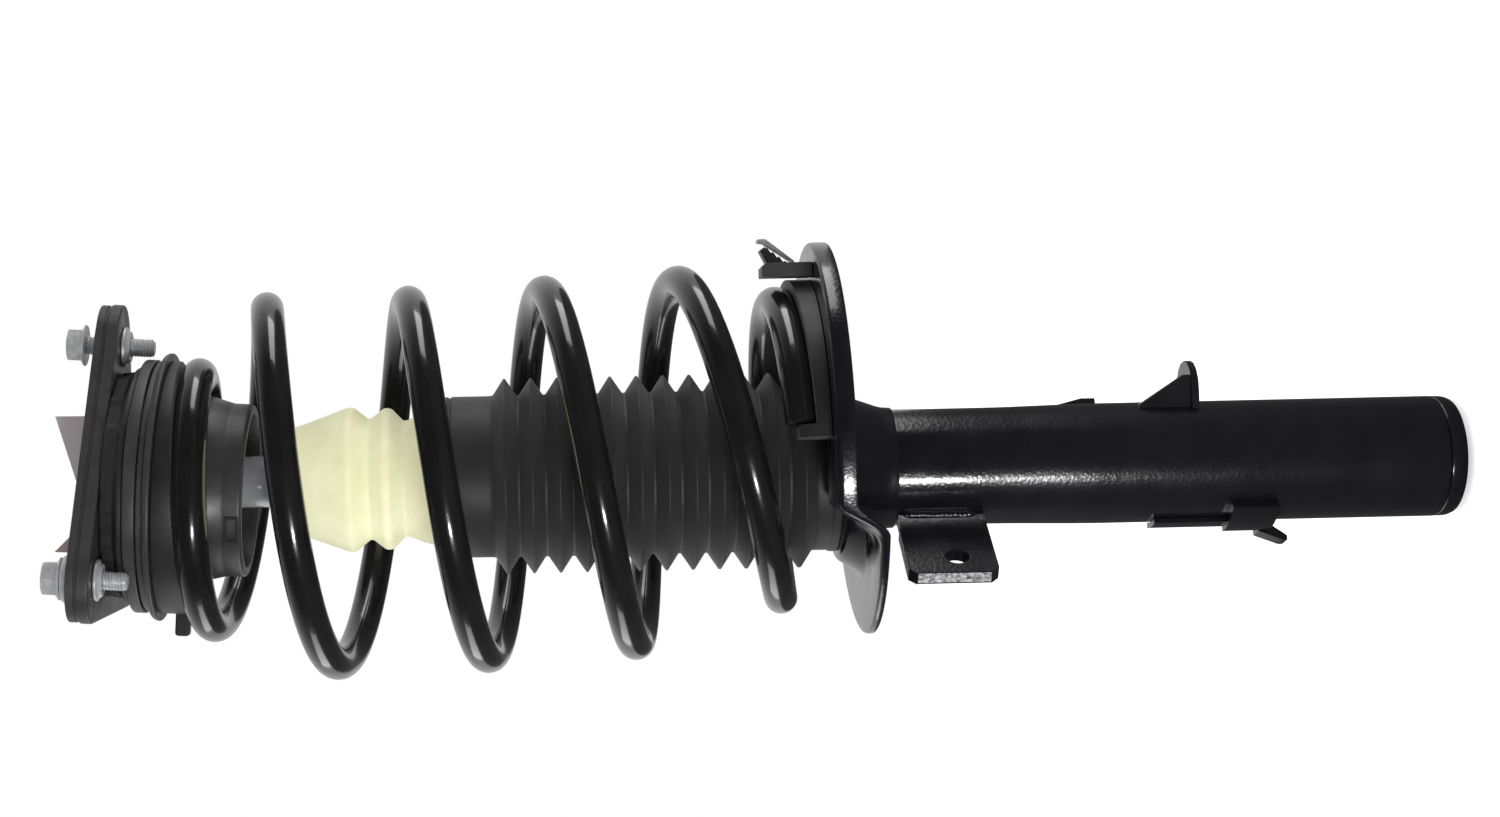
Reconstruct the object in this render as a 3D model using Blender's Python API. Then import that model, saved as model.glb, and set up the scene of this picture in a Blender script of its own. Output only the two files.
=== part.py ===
"""Front suspension strut assembly: damper, coil spring, dust boot, bearing and top mount.

Sizes are millimetres until `add_object` turns them into metres.  The damper's axis is +Z,
Z = 0 is the lower end of its tube, and +X is the side of the hose bracket.  The lower half
(tube, pan, brackets) stays still; the spring seat slides along Z; the rod and the top mount
turn, the mount about an axis that leans from the damper's.
"""
import math

import bmesh
import bpy
from mathutils import Matrix, Vector

MM = 0.001
ROUND_STEPS = 24
GAP = 0.3                   # between two pieces that touch
FIT_GAP = 0.3               # between a bore and what runs in it

# Damper tube
TUBE_RADIUS = 25.7
NECK_RADIUS = 24.9
TUBE_WALL = 2.5
TUBE_TOP = 300.0
TAPER_LOW = 150.0
TAPER_HIGH = 200.0
TUBE_LIP = 2.4
BASE_CAP_HEIGHT = 8.0
BASE_CAP_FLOOR = 5.0
BASE_CAP_SPIGOT = 6.0
BASE_EDGE = 4.0

# Inside the damper
ROD_RADIUS = 11.0
STUD_RADIUS = 7.0
PISTON_STUD_RADIUS = 5.0
PRESSURE_TUBE_RADIUS = 17.0
PRESSURE_TUBE_WALL = 1.5
SEAL_HEIGHT = 6.9
GUIDE_HEIGHT = 13.0
GUIDE_SPIGOT = 6.0
REBOUND_HEIGHT = 10.0
PISTON_HEIGHT = 11.0
PISTON_NUT_HEIGHT = 8.5
VALVE_FLANGE = 10.7
VALVE_SPIGOT = 8.0
STRIKE_CAP_WALL = 2.0
STRIKE_CAP_SKIRT = 14.0

# Spring pan
PAN_RADIUS = 83.8
PAN_OFFSET = 13.3           # the pan's centre lies towards +X
PAN_THICKNESS = 2.5
PAN_LOW = 254.5             # floor of the low half, on the axis
PAN_HIGH = 272.0            # floor of the raised half, on the axis
PAN_SLOPE = 0.02
PAN_STEP_START = -26.0
PAN_STEP_END = -12.0
PAN_SKIRT = 8.0
PAN_LOW_EDGE = 3.5          # height of the low half's rolled rim
HUB_TOP = 264.0
HUB_RADIUS = 38.5
FLOOR_INNER_RADIUS = 45.0
COLLAR_BOTTOM = 239.5
COLLAR_SHOULDER = 252.0
PAN_STEPS = 40

# Coil spring
WIRE_RADIUS = 7.0
SPRING_START_ANGLE = -79.0
SPRING_STEPS_PER_TURN = 18
WIRE_SIDES = 8
# turn, height on the axis, lean of the turn's plane, coil radius, offset of the centre in X
SPRING_STATIONS = (
    (0.00, 283.0, 0.030, 62.0, 9.0),
    (0.22, 285.2, 0.040, 62.5, 9.2),
    (0.72, 290.7, 0.055, 65.5, 11.5),
    (1.22, 324.6, 0.060, 75.0, 6.6),
    (1.72, 353.0, 0.050, 76.5, 4.0),
    (2.72, 414.5, 0.030, 76.7, 0.0),
    (3.72, 474.6, -0.020, 76.5, -1.8),
    (4.22, 507.4, -0.030, 74.6, -0.7),
    (4.72, 526.2, -0.062, 57.0, -4.3),
    (5.22, 537.6, -0.068, 49.5, -3.0),
    (5.60, 538.4, -0.070, 49.0, -2.7),
)

# Lower isolator: rubber trough under the first half turn
TROUGH_END_TURN = 0.50
TROUGH_WALL = 2.0
TROUGH_CLEARANCE = 0.7      # round the faceted wire
TROUGH_OUTER_HEIGHT = -5.0
TROUGH_INNER_HEIGHT = 1.0
TROUGH_STOP_HEIGHT = 2.0
TROUGH_STOP = 5.0           # thickness of the wall beyond the spring's tip

# Boot and bump stop
BOOT_WALL = 1.6
BOOT_RADIUS = 34.5
BOOT_CREST_RADIUS = 41.8
BOOT_CRESTS = 12
BOOT_FOOT_HEIGHT = 10.0
BOOT_COLLAR_BOTTOM = 410.0
BOOT_COLLAR_TOP = 431.0
BOOT_STEPS = 24
SNAP_RADIUS = 27.0
SNAP_BOTTOM = 426.9
SNAP_TOP = 430.6
BUMP_BOTTOM = 424.0
BUMP_TOP = 503.0

# Top mount frame: its axis leans by MOUNT_LEAN in the X-Z plane and crosses the damper's here
MOUNT_CENTRE_HEIGHT = 570.0
MOUNT_LEAN = 3.8

# Heights in the mount's own frame
PLATE_BOTTOM = 1.0
PLATE_THICKNESS = 9.5
HOUSING_BOTTOM = -9.0
BEARING_SPLIT = -15.0
SEAT_TOP = -18.0
SEAT_BOTTOM = -56.5
SEAT_FLANGE = 3.0
ISOLATOR_BOTTOM = -33.0
ISOLATOR_STEPS = 32
SEAT_CLEARANCE = 1.3        # between the faceted wire and its rubber seat

# Radii in the mount's own frame
PLATE_BORE = 24.3
LOBE_RADIUS = 18.0
BOLT_CIRCLE = 59.0
BOLT_ANGLES = (0.0, 130.0, 230.0)
HOUSING_RADIUS = 47.5
HOUSING_LIP_RADIUS = 22.0
HOUSING_LIP = 1.7
BEARING_OUTER_RADIUS = 54.2
BEARING_INNER_RADIUS = 36.0
BEARING_WALL = 2.8
BALL_TRACK_RADIUS = 44.7
BALL_RADIUS = 1.8
BALL_COUNT = 14
SEAT_FLANGE_RADIUS = 57.3
SEAT_NOSE_RADIUS = 37.0
SEAT_SHOULDER_RADIUS = 40.2
SEAT_BORE = 33.0
ISOLATOR_RADIUS = 54.0
BUSH_HALF_HEIGHT = 6.5
SLEEVE_SPHERE = 16.0
SLEEVE_NECK = 12.0
SLEEVE_BOTTOM = -13.2
SLEEVE_TOP = 2.5
SLEEVE_WASHER = 2.5
SLEEVE_WASHER_RADIUS = 18.0
ROD_NUT_FLATS = 19.0
ROD_NUT_HEIGHT = 7.2

# Mount bolts
BOLT_RADIUS = 4.0
BOLT_HOLE_RADIUS = 4.6
BOLT_FLATS = 13.0
BOLT_HEAD_HEIGHT = 6.2
BOLT_FLANGE_RADIUS = 8.8
BOLT_FLANGE_HEIGHT = 1.8
BOLT_BELOW_PLATE = 13.5
WASHER_RADIUS = 10.5
WASHER_THICKNESS = (1.5, 3.5, 3.5)
BOLT_LIFT = (4.4, 0.3, 0.3)
CLIP_RADIUS = 8.6
CLIP_THICKNESS = 3.2

# Link bracket: a flat plate that stands out from the tube
LINK_ANGLE = 238.0
LINK_FACE_OFFSET = 7.9
LINK_THICKNESS = 5.8
LINK_LOW = 203.0
LINK_HIGH = 240.0
LINK_REACH = 66.0
LINK_HOLE_RADIUS = 5.0
LINK_HOLE_REACH = 55.0
LINK_HOLE_HEIGHT = 219.0
LINK_CORNER = 3.0

# Hose bracket on the +X side
HOSE_FLANGE_HEIGHT = 110.0
HOSE_FLANGE_THICKNESS = 3.0
HOSE_FLANGE_WIDTH = 26.0
HOSE_FLANGE_REACH = 43.0
HOSE_GUSSET_TOP = 135.0
HOSE_GUSSET_THICKNESS = 3.0

# Clip bracket on the -X side
STRAP_RADIUS = 28.3
STRAP_LOW = 80.5
STRAP_HIGH = 130.0
STRAP_ANGLES = (178.0, 205.0)
POCKET_RADIUS = 30.5
POCKET_LOW = 80.0
POCKET_HIGH = 99.5
POCKET_ANGLES = (190.0, 231.0)
HOOK_REACH = 34.5
HOOK_LOW = 72.0

# Sensor tab behind the tube
TAB_ANGLE = 35.0
TAB_LOW = 148.0
TAB_HIGH = 172.0
TAB_REACH = 32.0
TAB_THICKNESS = 3.0


def clear_scene():
    """Remove every object of the open scene."""
    for item in list(bpy.data.objects):
        bpy.data.objects.remove(item, do_unlink=True)


def finish(name, colour, roughness, metallic=0.0):
    """Return a material with one colour, roughness and metallic value."""
    material = bpy.data.materials.new(name)
    material.use_nodes = True
    shader = material.node_tree.nodes["Principled BSDF"]
    shader.inputs["Base Color"].default_value = (*colour, 1.0)
    shader.inputs["Roughness"].default_value = roughness
    shader.inputs["Metallic"].default_value = metallic
    return material


def add_object(name, bm, material, parent=None):
    """Turn a bmesh in millimetres into a named object in metres."""
    bmesh.ops.recalc_face_normals(bm, faces=bm.faces)
    mesh = bpy.data.meshes.new(name)
    bm.to_mesh(mesh)
    bm.free()
    mesh.transform(Matrix.Scale(MM, 4))
    mesh.materials.append(material)
    mesh.shade_smooth()
    mesh.set_sharp_from_angle(angle=math.radians(35.0))
    item = bpy.data.objects.new(name, mesh)
    bpy.context.scene.collection.objects.link(item)
    item.parent = parent
    return item


def add_frame(name, location, lean):
    """Add an empty at a point in millimetres, leaning about Y by some degrees."""
    frame = bpy.data.objects.new(name, None)
    bpy.context.scene.collection.objects.link(frame)
    frame.location = Vector(location) * MM
    frame.rotation_euler = (0.0, math.radians(lean), 0.0)
    return frame


def loft(name, rings, material, parent=None, wrap=True):
    """Skin a solid over rings of points: wrapped round to the first ring, or capped."""
    bm = bmesh.new()
    loops = [[bm.verts.new(point) for point in ring] for ring in rings]
    pairs = list(zip(loops, loops[1:]))
    if wrap:
        pairs.append((loops[-1], loops[0]))
    else:
        bm.faces.new(loops[0])
        bm.faces.new(loops[-1])
    for lower, upper in pairs:
        for index, corner in enumerate(lower):
            following = (index + 1) % len(lower)
            bm.faces.new((corner, lower[following], upper[following], upper[index]))
    return add_object(name, bm, material, parent)


def circle(radius, height, steps=ROUND_STEPS):
    """Return the points of a circle about Z."""
    turn = 2.0 * math.pi / steps
    return [(radius * math.cos(i * turn), radius * math.sin(i * turn), height) for i in range(steps)]


def hexagon(flats, height, steps):
    """Return points on a hexagon about Z, with its width across flats."""
    points = []
    for index in range(steps):
        angle = 2.0 * math.pi * index / steps
        within = (angle + math.pi / 6.0) % (math.pi / 3.0) - math.pi / 6.0
        radius = flats / 2.0 / math.cos(within)
        points.append((radius * math.cos(angle), radius * math.sin(angle), height))
    return points


def turned(name, profile, material, parent=None, solid=False, steps=ROUND_STEPS):
    """Turn a profile of (radius, height) about Z: a closed loop, or solid with flat ends."""
    rings = [circle(radius, height, steps) for radius, height in profile]
    return loft(name, rings, material, parent, wrap=not solid)


def prism(name, outline, low, high, material, parent=None, holes=()):
    """Extrude an outline in X-Y, with holes, from low to high along Z."""
    bm = bmesh.new()
    levels = []
    for height in (low, high):
        loops = []
        edges = []
        for loop in (outline, *holes):
            corners = [bm.verts.new((x, y, height)) for x, y in loop]
            edges += [bm.edges.new(pair) for pair in zip(corners, corners[1:] + corners[:1])]
            loops.append(corners)
        bmesh.ops.triangle_fill(bm, use_beauty=True, edges=edges)
        levels.append(loops)
    for lower, upper in zip(*levels):
        for index, corner in enumerate(lower):
            following = (index + 1) % len(lower)
            bm.faces.new((corner, lower[following], upper[following], upper[index]))
    return add_object(name, bm, material, parent)


def hole(x, y, radius, steps=18):
    """Return the outline of a round hole."""
    return [(x + px, y + py) for px, py, _ in circle(radius, 0.0, steps)]


def stand_on_edge(item, angle, offset=0.0):
    """Stand a prism up: its outline's X points outwards at an angle, its Y along +Z."""
    heading = math.radians(angle)
    item.rotation_euler = (math.pi / 2.0, 0.0, heading)
    item.location = Vector((-math.sin(heading), math.cos(heading), 0.0)) * offset * -MM
    return item


def cut(item, cutter):
    """Subtract a cutter, which is then only a guide."""
    combine(item, cutter, 'DIFFERENCE')


def join(item, other):
    """Unite another solid with an item; the other is then only a guide."""
    combine(item, other, 'UNION')


def combine(item, other, operation):
    """Add an exact Boolean modifier and hide its operand."""
    modifier = item.modifiers.new(operation.title(), 'BOOLEAN')
    modifier.operation = operation
    modifier.solver = 'EXACT'
    modifier.object = other
    other.hide_render = True
    other.display_type = 'WIRE'


def tube_clearance(name, low, high, material):
    """Return a cylinder that trims a bracket to the tube's outside."""
    radius = TUBE_RADIUS + GAP
    return turned(name, [(radius, low), (radius, high)], material, solid=True)


def arc_block(name, inner, outer, angles, low, high, material, steps=8):
    """Return a block between two radii, two angles and two heights."""
    rings = []
    for index in range(steps + 1):
        angle = math.radians(angles[0] + (angles[1] - angles[0]) * index / steps)
        across = Vector((math.cos(angle), math.sin(angle), 0.0))
        corners = ((inner, low), (outer, low), (outer, high), (inner, high))
        rings.append([across * radius + Vector((0.0, 0.0, height)) for radius, height in corners])
    return loft(name, rings, material, wrap=False)


def smooth_step(value, start, end):
    """Rise smoothly from 0 at start to 1 at end."""
    share = min(max((value - start) / (end - start), 0.0), 1.0)
    return share * share * (3.0 - 2.0 * share)


def spring_values(turn):
    """Interpolate height, lean, radius and offset at a turn with smooth slopes."""
    stations = SPRING_STATIONS
    index = 0
    while index < len(stations) - 2 and turn > stations[index + 1][0]:
        index += 1
    start, end = stations[index], stations[index + 1]
    span = end[0] - start[0]
    share = (turn - start[0]) / span
    values = []
    for column in range(1, 5):
        slopes = []
        for station in (index, index + 1):
            before = stations[max(station - 1, 0)]
            after = stations[min(station + 1, len(stations) - 1)]
            slopes.append((after[column] - before[column]) / (after[0] - before[0]))
        square, cube = share * share, share ** 3
        values.append(
            (2 * cube - 3 * square + 1) * start[column] + (cube - 2 * square + share) * span * slopes[0]
            + (3 * square - 2 * cube) * end[column] + (cube - square) * span * slopes[1]
        )
    return values


def spring_turns():
    """Return the turns at which the wire's sections stand."""
    last_turn = SPRING_STATIONS[-1][0]
    count = round(last_turn * SPRING_STEPS_PER_TURN)
    return [last_turn * index / count for index in range(count + 1)]


def spring_point(turn):
    """Return the wire's centre at a turn counted from the lower tip."""
    height, lean, radius, offset = spring_values(turn)
    angle = math.radians(SPRING_START_ANGLE + 360.0 * turn)
    x = offset + radius * math.cos(angle)
    return Vector((x, radius * math.sin(angle), height + lean * x))


def pan_floor(x):
    """Return the height of the pan's floor at a place across X."""
    raised = smooth_step(x, PAN_STEP_START, PAN_STEP_END)
    return PAN_LOW + (PAN_HIGH - PAN_LOW) * raised + PAN_SLOPE * x


def build_tube(paint):
    """Build the reserve tube and its base cap."""
    lip_radius = NECK_RADIUS - TUBE_WALL - TUBE_LIP
    turned("reserve_tube", [
        (TUBE_RADIUS, BASE_CAP_HEIGHT + GAP), (TUBE_RADIUS, TAPER_LOW),
        (NECK_RADIUS, TAPER_HIGH), (NECK_RADIUS, TUBE_TOP),
        (lip_radius, TUBE_TOP), (lip_radius, TUBE_TOP - TUBE_WALL),
        (NECK_RADIUS - TUBE_WALL, TUBE_TOP - TUBE_WALL), (NECK_RADIUS - TUBE_WALL, TAPER_HIGH),
        (TUBE_RADIUS - TUBE_WALL, TAPER_LOW), (TUBE_RADIUS - TUBE_WALL, BASE_CAP_HEIGHT + GAP),
    ], paint)
    cap_radius = TUBE_RADIUS - GAP
    edge = []
    for step in range(4):
        angle = math.radians(-90.0 + 30.0 * step)
        edge.append((cap_radius - BASE_EDGE + BASE_EDGE * math.cos(angle),
                     BASE_EDGE + BASE_EDGE * math.sin(angle)))
    spigot_radius = TUBE_RADIUS - TUBE_WALL - GAP
    turned("base_cap", edge + [
        (cap_radius, BASE_CAP_HEIGHT), (spigot_radius, BASE_CAP_HEIGHT),
        (spigot_radius, BASE_CAP_HEIGHT + BASE_CAP_SPIGOT),
        (spigot_radius - TUBE_WALL, BASE_CAP_HEIGHT + BASE_CAP_SPIGOT),
        (spigot_radius - TUBE_WALL, BASE_CAP_FLOOR),
    ], paint, solid=True)


def build_damper_inside(steel, dark_steel, rubber):
    """Build what the tube holds; return the height of the rod guide's lower face."""
    bore = NECK_RADIUS - TUBE_WALL - GAP
    cylinder_bore = PRESSURE_TUBE_RADIUS - PRESSURE_TUBE_WALL
    valve_low = BASE_CAP_FLOOR + GAP
    valve_shoulder = valve_low + VALVE_FLANGE
    valve_radius = TUBE_RADIUS - 2.0 * TUBE_WALL - 2.0 * GAP
    turned("base_valve", [
        (valve_radius - GAP, valve_low), (valve_radius - GAP, valve_shoulder),
        (cylinder_bore - FIT_GAP, valve_shoulder), (cylinder_bore - FIT_GAP, valve_shoulder + VALVE_SPIGOT),
    ], dark_steel, solid=True)
    seal_top = TUBE_TOP - TUBE_WALL - GAP
    seal_low = seal_top - SEAL_HEIGHT
    guide_top = seal_low - GAP
    guide_shoulder = guide_top - GUIDE_HEIGHT
    guide_low = guide_shoulder - GUIDE_SPIGOT
    rod_bore = ROD_RADIUS + FIT_GAP
    turned("rod_seal", [
        (rod_bore, seal_low), (bore, seal_low), (bore, seal_top), (rod_bore, seal_top),
    ], rubber)
    turned("rod_guide", [
        (rod_bore, guide_low), (cylinder_bore - FIT_GAP, guide_low),
        (cylinder_bore - FIT_GAP, guide_shoulder), (bore, guide_shoulder),
        (bore, guide_top), (rod_bore, guide_top),
    ], dark_steel)
    turned("pressure_tube", [
        (PRESSURE_TUBE_RADIUS, valve_shoulder + GAP), (PRESSURE_TUBE_RADIUS, guide_shoulder - GAP),
        (cylinder_bore, guide_shoulder - GAP), (cylinder_bore, valve_shoulder + GAP),
    ], steel)
    cap_bore = NECK_RADIUS + GAP
    cap_top = TUBE_TOP + GAP + STRIKE_CAP_WALL
    turned("strike_cap", [
        (cap_bore, TUBE_TOP - STRIKE_CAP_SKIRT), (cap_bore + STRIKE_CAP_WALL, TUBE_TOP - STRIKE_CAP_SKIRT),
        (cap_bore + STRIKE_CAP_WALL, cap_top), (ROD_RADIUS + 1.5, cap_top),
        (ROD_RADIUS + 1.5, TUBE_TOP + GAP), (cap_bore, TUBE_TOP + GAP),
    ], steel)
    return guide_low


def build_rod(chrome, dark_steel, steel, rubber, foam, guide_low):
    """Build the piston rod and everything that is fixed on it."""
    cylinder_bore = PRESSURE_TUBE_RADIUS - PRESSURE_TUBE_WALL
    rebound_top = guide_low - GAP
    rebound_low = rebound_top - REBOUND_HEIGHT
    piston_top = rebound_low - GAP
    piston_low = piston_top - PISTON_HEIGHT
    nut_top = piston_low - GAP
    sleeve_low = MOUNT_CENTRE_HEIGHT + SLEEVE_BOTTOM
    washer_top = sleeve_low - GAP
    shoulder = washer_top - SLEEVE_WASHER - GAP
    nut_low = MOUNT_CENTRE_HEIGHT + SLEEVE_TOP + GAP
    turned("piston_rod", [
        (PISTON_STUD_RADIUS, nut_top - PISTON_NUT_HEIGHT / 2.0), (PISTON_STUD_RADIUS, piston_top + GAP),
        (ROD_RADIUS, piston_top + GAP), (ROD_RADIUS, shoulder), (STUD_RADIUS, shoulder),
        (STUD_RADIUS, nut_low + ROD_NUT_HEIGHT + 1.0),
    ], chrome, solid=True)
    stud_bore = PISTON_STUD_RADIUS + FIT_GAP
    turned("piston", [
        (stud_bore, piston_low), (cylinder_bore - FIT_GAP, piston_low),
        (cylinder_bore - FIT_GAP, piston_top), (stud_bore, piston_top),
    ], dark_steel)
    hexagon_outline = [(x, y) for x, y, _ in hexagon(16.0, 0.0, 6 * 3)]
    prism("piston_nut", hexagon_outline, nut_top - PISTON_NUT_HEIGHT, nut_top, steel,
          holes=(hole(0.0, 0.0, stud_bore),))
    turned("rebound_stop", [
        (ROD_RADIUS + FIT_GAP, rebound_low), (cylinder_bore - 1.0, rebound_low),
        (cylinder_bore - 1.0, rebound_top), (ROD_RADIUS + FIT_GAP, rebound_top),
    ], rubber)
    bump_bore = ROD_RADIUS + FIT_GAP
    snap_lip = SNAP_RADIUS + 2.5
    turned("bump_stop", [
        (bump_bore, BUMP_BOTTOM), (snap_lip, BUMP_BOTTOM), (snap_lip, SNAP_BOTTOM - GAP),
        (SNAP_RADIUS, SNAP_BOTTOM), (SNAP_RADIUS, SNAP_TOP), (29.0, SNAP_TOP + GAP),
        (28.4, 438.0), (24.8, 447.0), (30.4, 454.5), (25.9, 462.0), (31.0, 470.0),
        (22.5, 496.0), (21.0, BUMP_TOP), (bump_bore, BUMP_TOP),
    ], foam)
    sleeve_bore = STUD_RADIUS + FIT_GAP
    turned("sleeve_washer", [
        (sleeve_bore, washer_top - SLEEVE_WASHER), (SLEEVE_WASHER_RADIUS, washer_top - SLEEVE_WASHER),
        (SLEEVE_WASHER_RADIUS, washer_top), (sleeve_bore, washer_top),
    ], steel)
    start = -math.sqrt(SLEEVE_SPHERE ** 2 - SLEEVE_NECK ** 2)
    sphere = []
    for step in range(9):
        height = start + (SLEEVE_TOP - start) * step / 8
        sphere.append((math.sqrt(SLEEVE_SPHERE ** 2 - height ** 2), MOUNT_CENTRE_HEIGHT + height))
    turned("inner_sleeve", [(sleeve_bore, sleeve_low), (SLEEVE_NECK, sleeve_low)] + sphere + [
        (sleeve_bore, MOUNT_CENTRE_HEIGHT + SLEEVE_TOP),
    ], steel)
    nut_outline = [(x, y) for x, y, _ in hexagon(ROD_NUT_FLATS, 0.0, 6 * 3)]
    prism("rod_nut", nut_outline, nut_low, nut_low + ROD_NUT_HEIGHT, steel,
          holes=(hole(0.0, 0.0, sleeve_bore),))


def build_pan(paint):
    """Build the stamped spring pan: collar, hub, raised half with a skirt, low half."""
    bore = NECK_RADIUS + GAP
    sections = []
    for index in range(PAN_STEPS):
        angle = 2.0 * math.pi * index / PAN_STEPS
        across = Vector((math.cos(angle), math.sin(angle), 0.0))
        rim = PAN_OFFSET * across.x + math.sqrt(PAN_RADIUS ** 2 - (PAN_OFFSET * across.y) ** 2)
        rim_floor = pan_floor(rim * across.x)
        inner_floor = pan_floor(FLOOR_INNER_RADIUS * across.x)
        raised = smooth_step(rim * across.x, PAN_STEP_START, PAN_STEP_END)
        skirt = PAN_LOW_EDGE + (PAN_SKIRT - PAN_LOW_EDGE) * raised
        inner_raised = smooth_step(FLOOR_INNER_RADIUS * across.x, PAN_STEP_START, PAN_STEP_END)
        profile = [
            (bore, COLLAR_BOTTOM), (bore + 2.0, COLLAR_BOTTOM), (bore + 4.0, COLLAR_SHOULDER),
            (bore + 5.8, HUB_TOP - PAN_THICKNESS),
            (HUB_RADIUS - 2.0 + 3.5 * inner_raised, HUB_TOP - PAN_THICKNESS),
            (FLOOR_INNER_RADIUS - 2.0 + 4.0 * inner_raised, inner_floor - PAN_THICKNESS),
            (rim - PAN_THICKNESS, rim_floor - PAN_THICKNESS), (rim - PAN_THICKNESS, rim_floor - skirt),
            (rim, rim_floor - skirt), (rim, rim_floor - 1.0), (rim - 1.2, rim_floor),
            (FLOOR_INNER_RADIUS, inner_floor), (HUB_RADIUS, HUB_TOP), (bore, HUB_TOP),
        ]
        sections.append([across * radius + Vector((0.0, 0.0, height)) for radius, height in profile])
    loft("spring_pan", sections, paint)


def build_spring(paint):
    """Sweep the wire round along the coil's centre line."""
    rings = []
    for turn in spring_turns():
        centre = spring_point(turn)
        along = (spring_point(turn + 0.001) - spring_point(turn - 0.001)).normalized()
        side = along.cross(Vector((0.0, 0.0, 1.0))).normalized()
        upward = side.cross(along)
        ring = []
        for corner in range(WIRE_SIDES):
            angle = 2.0 * math.pi * corner / WIRE_SIDES
            ring.append(centre + (side * math.cos(angle) + upward * math.sin(angle)) * WIRE_RADIUS)
        rings.append(ring)
    loft("coil_spring", rings, paint, wrap=False)


def trough_section(turn, grooved):
    """Return one cross-section of the lower isolator, with or without the wire's groove."""
    centre = spring_point(turn)
    angle = math.radians(SPRING_START_ANGLE + 360.0 * turn)
    outwards = Vector((math.cos(angle), math.sin(angle), 0.0))
    groove = WIRE_RADIUS + TROUGH_CLEARANCE
    side = groove + TROUGH_WALL
    profile = [(side, None), (side, TROUGH_OUTER_HEIGHT)]
    for degrees in (-45.0, -75.0, -105.0, -135.0, -165.0):
        across = groove * math.cos(math.radians(degrees))
        height = groove * math.sin(math.radians(degrees)) if grooved else TROUGH_STOP_HEIGHT
        profile.append((across, height))
    profile += [(-groove, TROUGH_INNER_HEIGHT), (-side, TROUGH_INNER_HEIGHT), (-side, None)]
    points = []
    for across, height in profile:
        place = centre + outwards * across
        place.z = pan_floor(place.x) + GAP if height is None else centre.z + height
        points.append(place)
    return points


def build_lower_isolator(rubber):
    """Build the rubber trough under the spring's first half turn."""
    stop = TROUGH_STOP / (2.0 * math.pi * SPRING_STATIONS[0][3])
    sections = [trough_section(-stop - 0.004, False), trough_section(-0.004, False)]
    sections.append(trough_section(-0.003, True))
    sections += [trough_section(turn, True) for turn in spring_turns() if turn <= TROUGH_END_TURN]
    loft("lower_isolator", sections, rubber, wrap=False)


def build_boot(rubber):
    """Build the pleated dust boot, open at its foot and snapped on the bump stop."""
    foot = HUB_TOP + GAP
    crest_start = foot + BOOT_FOOT_HEIGHT
    pitch = (BOOT_COLLAR_BOTTOM - crest_start) / BOOT_CRESTS
    outside = [(BOOT_RADIUS, foot), (BOOT_RADIUS, crest_start)]
    for crest in range(BOOT_CRESTS):
        height = crest_start + pitch * crest
        outside.append((BOOT_CREST_RADIUS, height + pitch / 2.0))
        outside.append((BOOT_RADIUS, height + pitch))
    inside = [(radius - BOOT_WALL, height) for radius, height in reversed(outside)]
    flange_bore = SNAP_RADIUS + 2.0 * GAP
    turned("dust_boot", outside + [
        (BOOT_RADIUS, BOOT_COLLAR_TOP), (SNAP_RADIUS + 2.6, BOOT_COLLAR_TOP),
        (flange_bore, SNAP_TOP - GAP), (flange_bore, SNAP_BOTTOM + 0.4),
        (BOOT_RADIUS - BOOT_WALL, SNAP_BOTTOM + 0.4),
    ] + inside, rubber, steps=BOOT_STEPS)


def build_link_bracket(paint):
    """Build the stabiliser link bracket on the tube's side."""
    root = TUBE_RADIUS - 6.0
    collar = NECK_RADIUS + GAP + 4.0
    outline = [
        (root, LINK_LOW), (LINK_REACH - LINK_CORNER, LINK_LOW), (LINK_REACH, LINK_LOW + LINK_CORNER),
        (LINK_REACH, LINK_HIGH - LINK_CORNER), (LINK_REACH - LINK_CORNER, LINK_HIGH),
        (collar + 5.0, LINK_HIGH), (collar + 3.0, COLLAR_BOTTOM - GAP), (root, COLLAR_BOTTOM - GAP),
    ]
    bracket = prism("link_bracket", outline, 0.0, LINK_THICKNESS, paint,
                    holes=(hole(LINK_HOLE_REACH, LINK_HOLE_HEIGHT, LINK_HOLE_RADIUS),))
    stand_on_edge(bracket, LINK_ANGLE, LINK_FACE_OFFSET)
    cut(bracket, tube_clearance("link_bracket_cutter", LINK_LOW - 5.0, LINK_HIGH + 5.0, paint))


def build_hose_bracket(paint):
    """Build the flange with a gusset on the tube's +X side."""
    half = HOSE_FLANGE_WIDTH / 2.0
    outline = [(TUBE_RADIUS - 5.0, -half), (HOSE_FLANGE_REACH - half, -half)]
    for step in range(1, 8):
        angle = math.radians(-90.0 + 180.0 * step / 8)
        outline.append((HOSE_FLANGE_REACH - half + half * math.cos(angle), half * math.sin(angle)))
    outline += [(HOSE_FLANGE_REACH - half, half), (TUBE_RADIUS - 5.0, half)]
    top = HOSE_FLANGE_HEIGHT + HOSE_FLANGE_THICKNESS
    bracket = prism("hose_bracket", outline, HOSE_FLANGE_HEIGHT, top, paint)
    gusset_outline = [
        (TUBE_RADIUS - 5.0, HOSE_FLANGE_HEIGHT + 0.5), (HOSE_FLANGE_REACH - 6.0, HOSE_FLANGE_HEIGHT + 0.5),
        (HOSE_FLANGE_REACH - 6.0, top + 3.0), (TUBE_RADIUS - 1.0, HOSE_GUSSET_TOP),
        (TUBE_RADIUS - 5.0, HOSE_GUSSET_TOP),
    ]
    gusset = prism("hose_gusset_guide", gusset_outline, 0.0, HOSE_GUSSET_THICKNESS, paint)
    stand_on_edge(gusset, 0.0, half - 5.0)
    join(bracket, gusset)
    cut(bracket, tube_clearance("hose_bracket_cutter", HOSE_FLANGE_HEIGHT - 5.0, HOSE_GUSSET_TOP + 5.0, paint))


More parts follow.
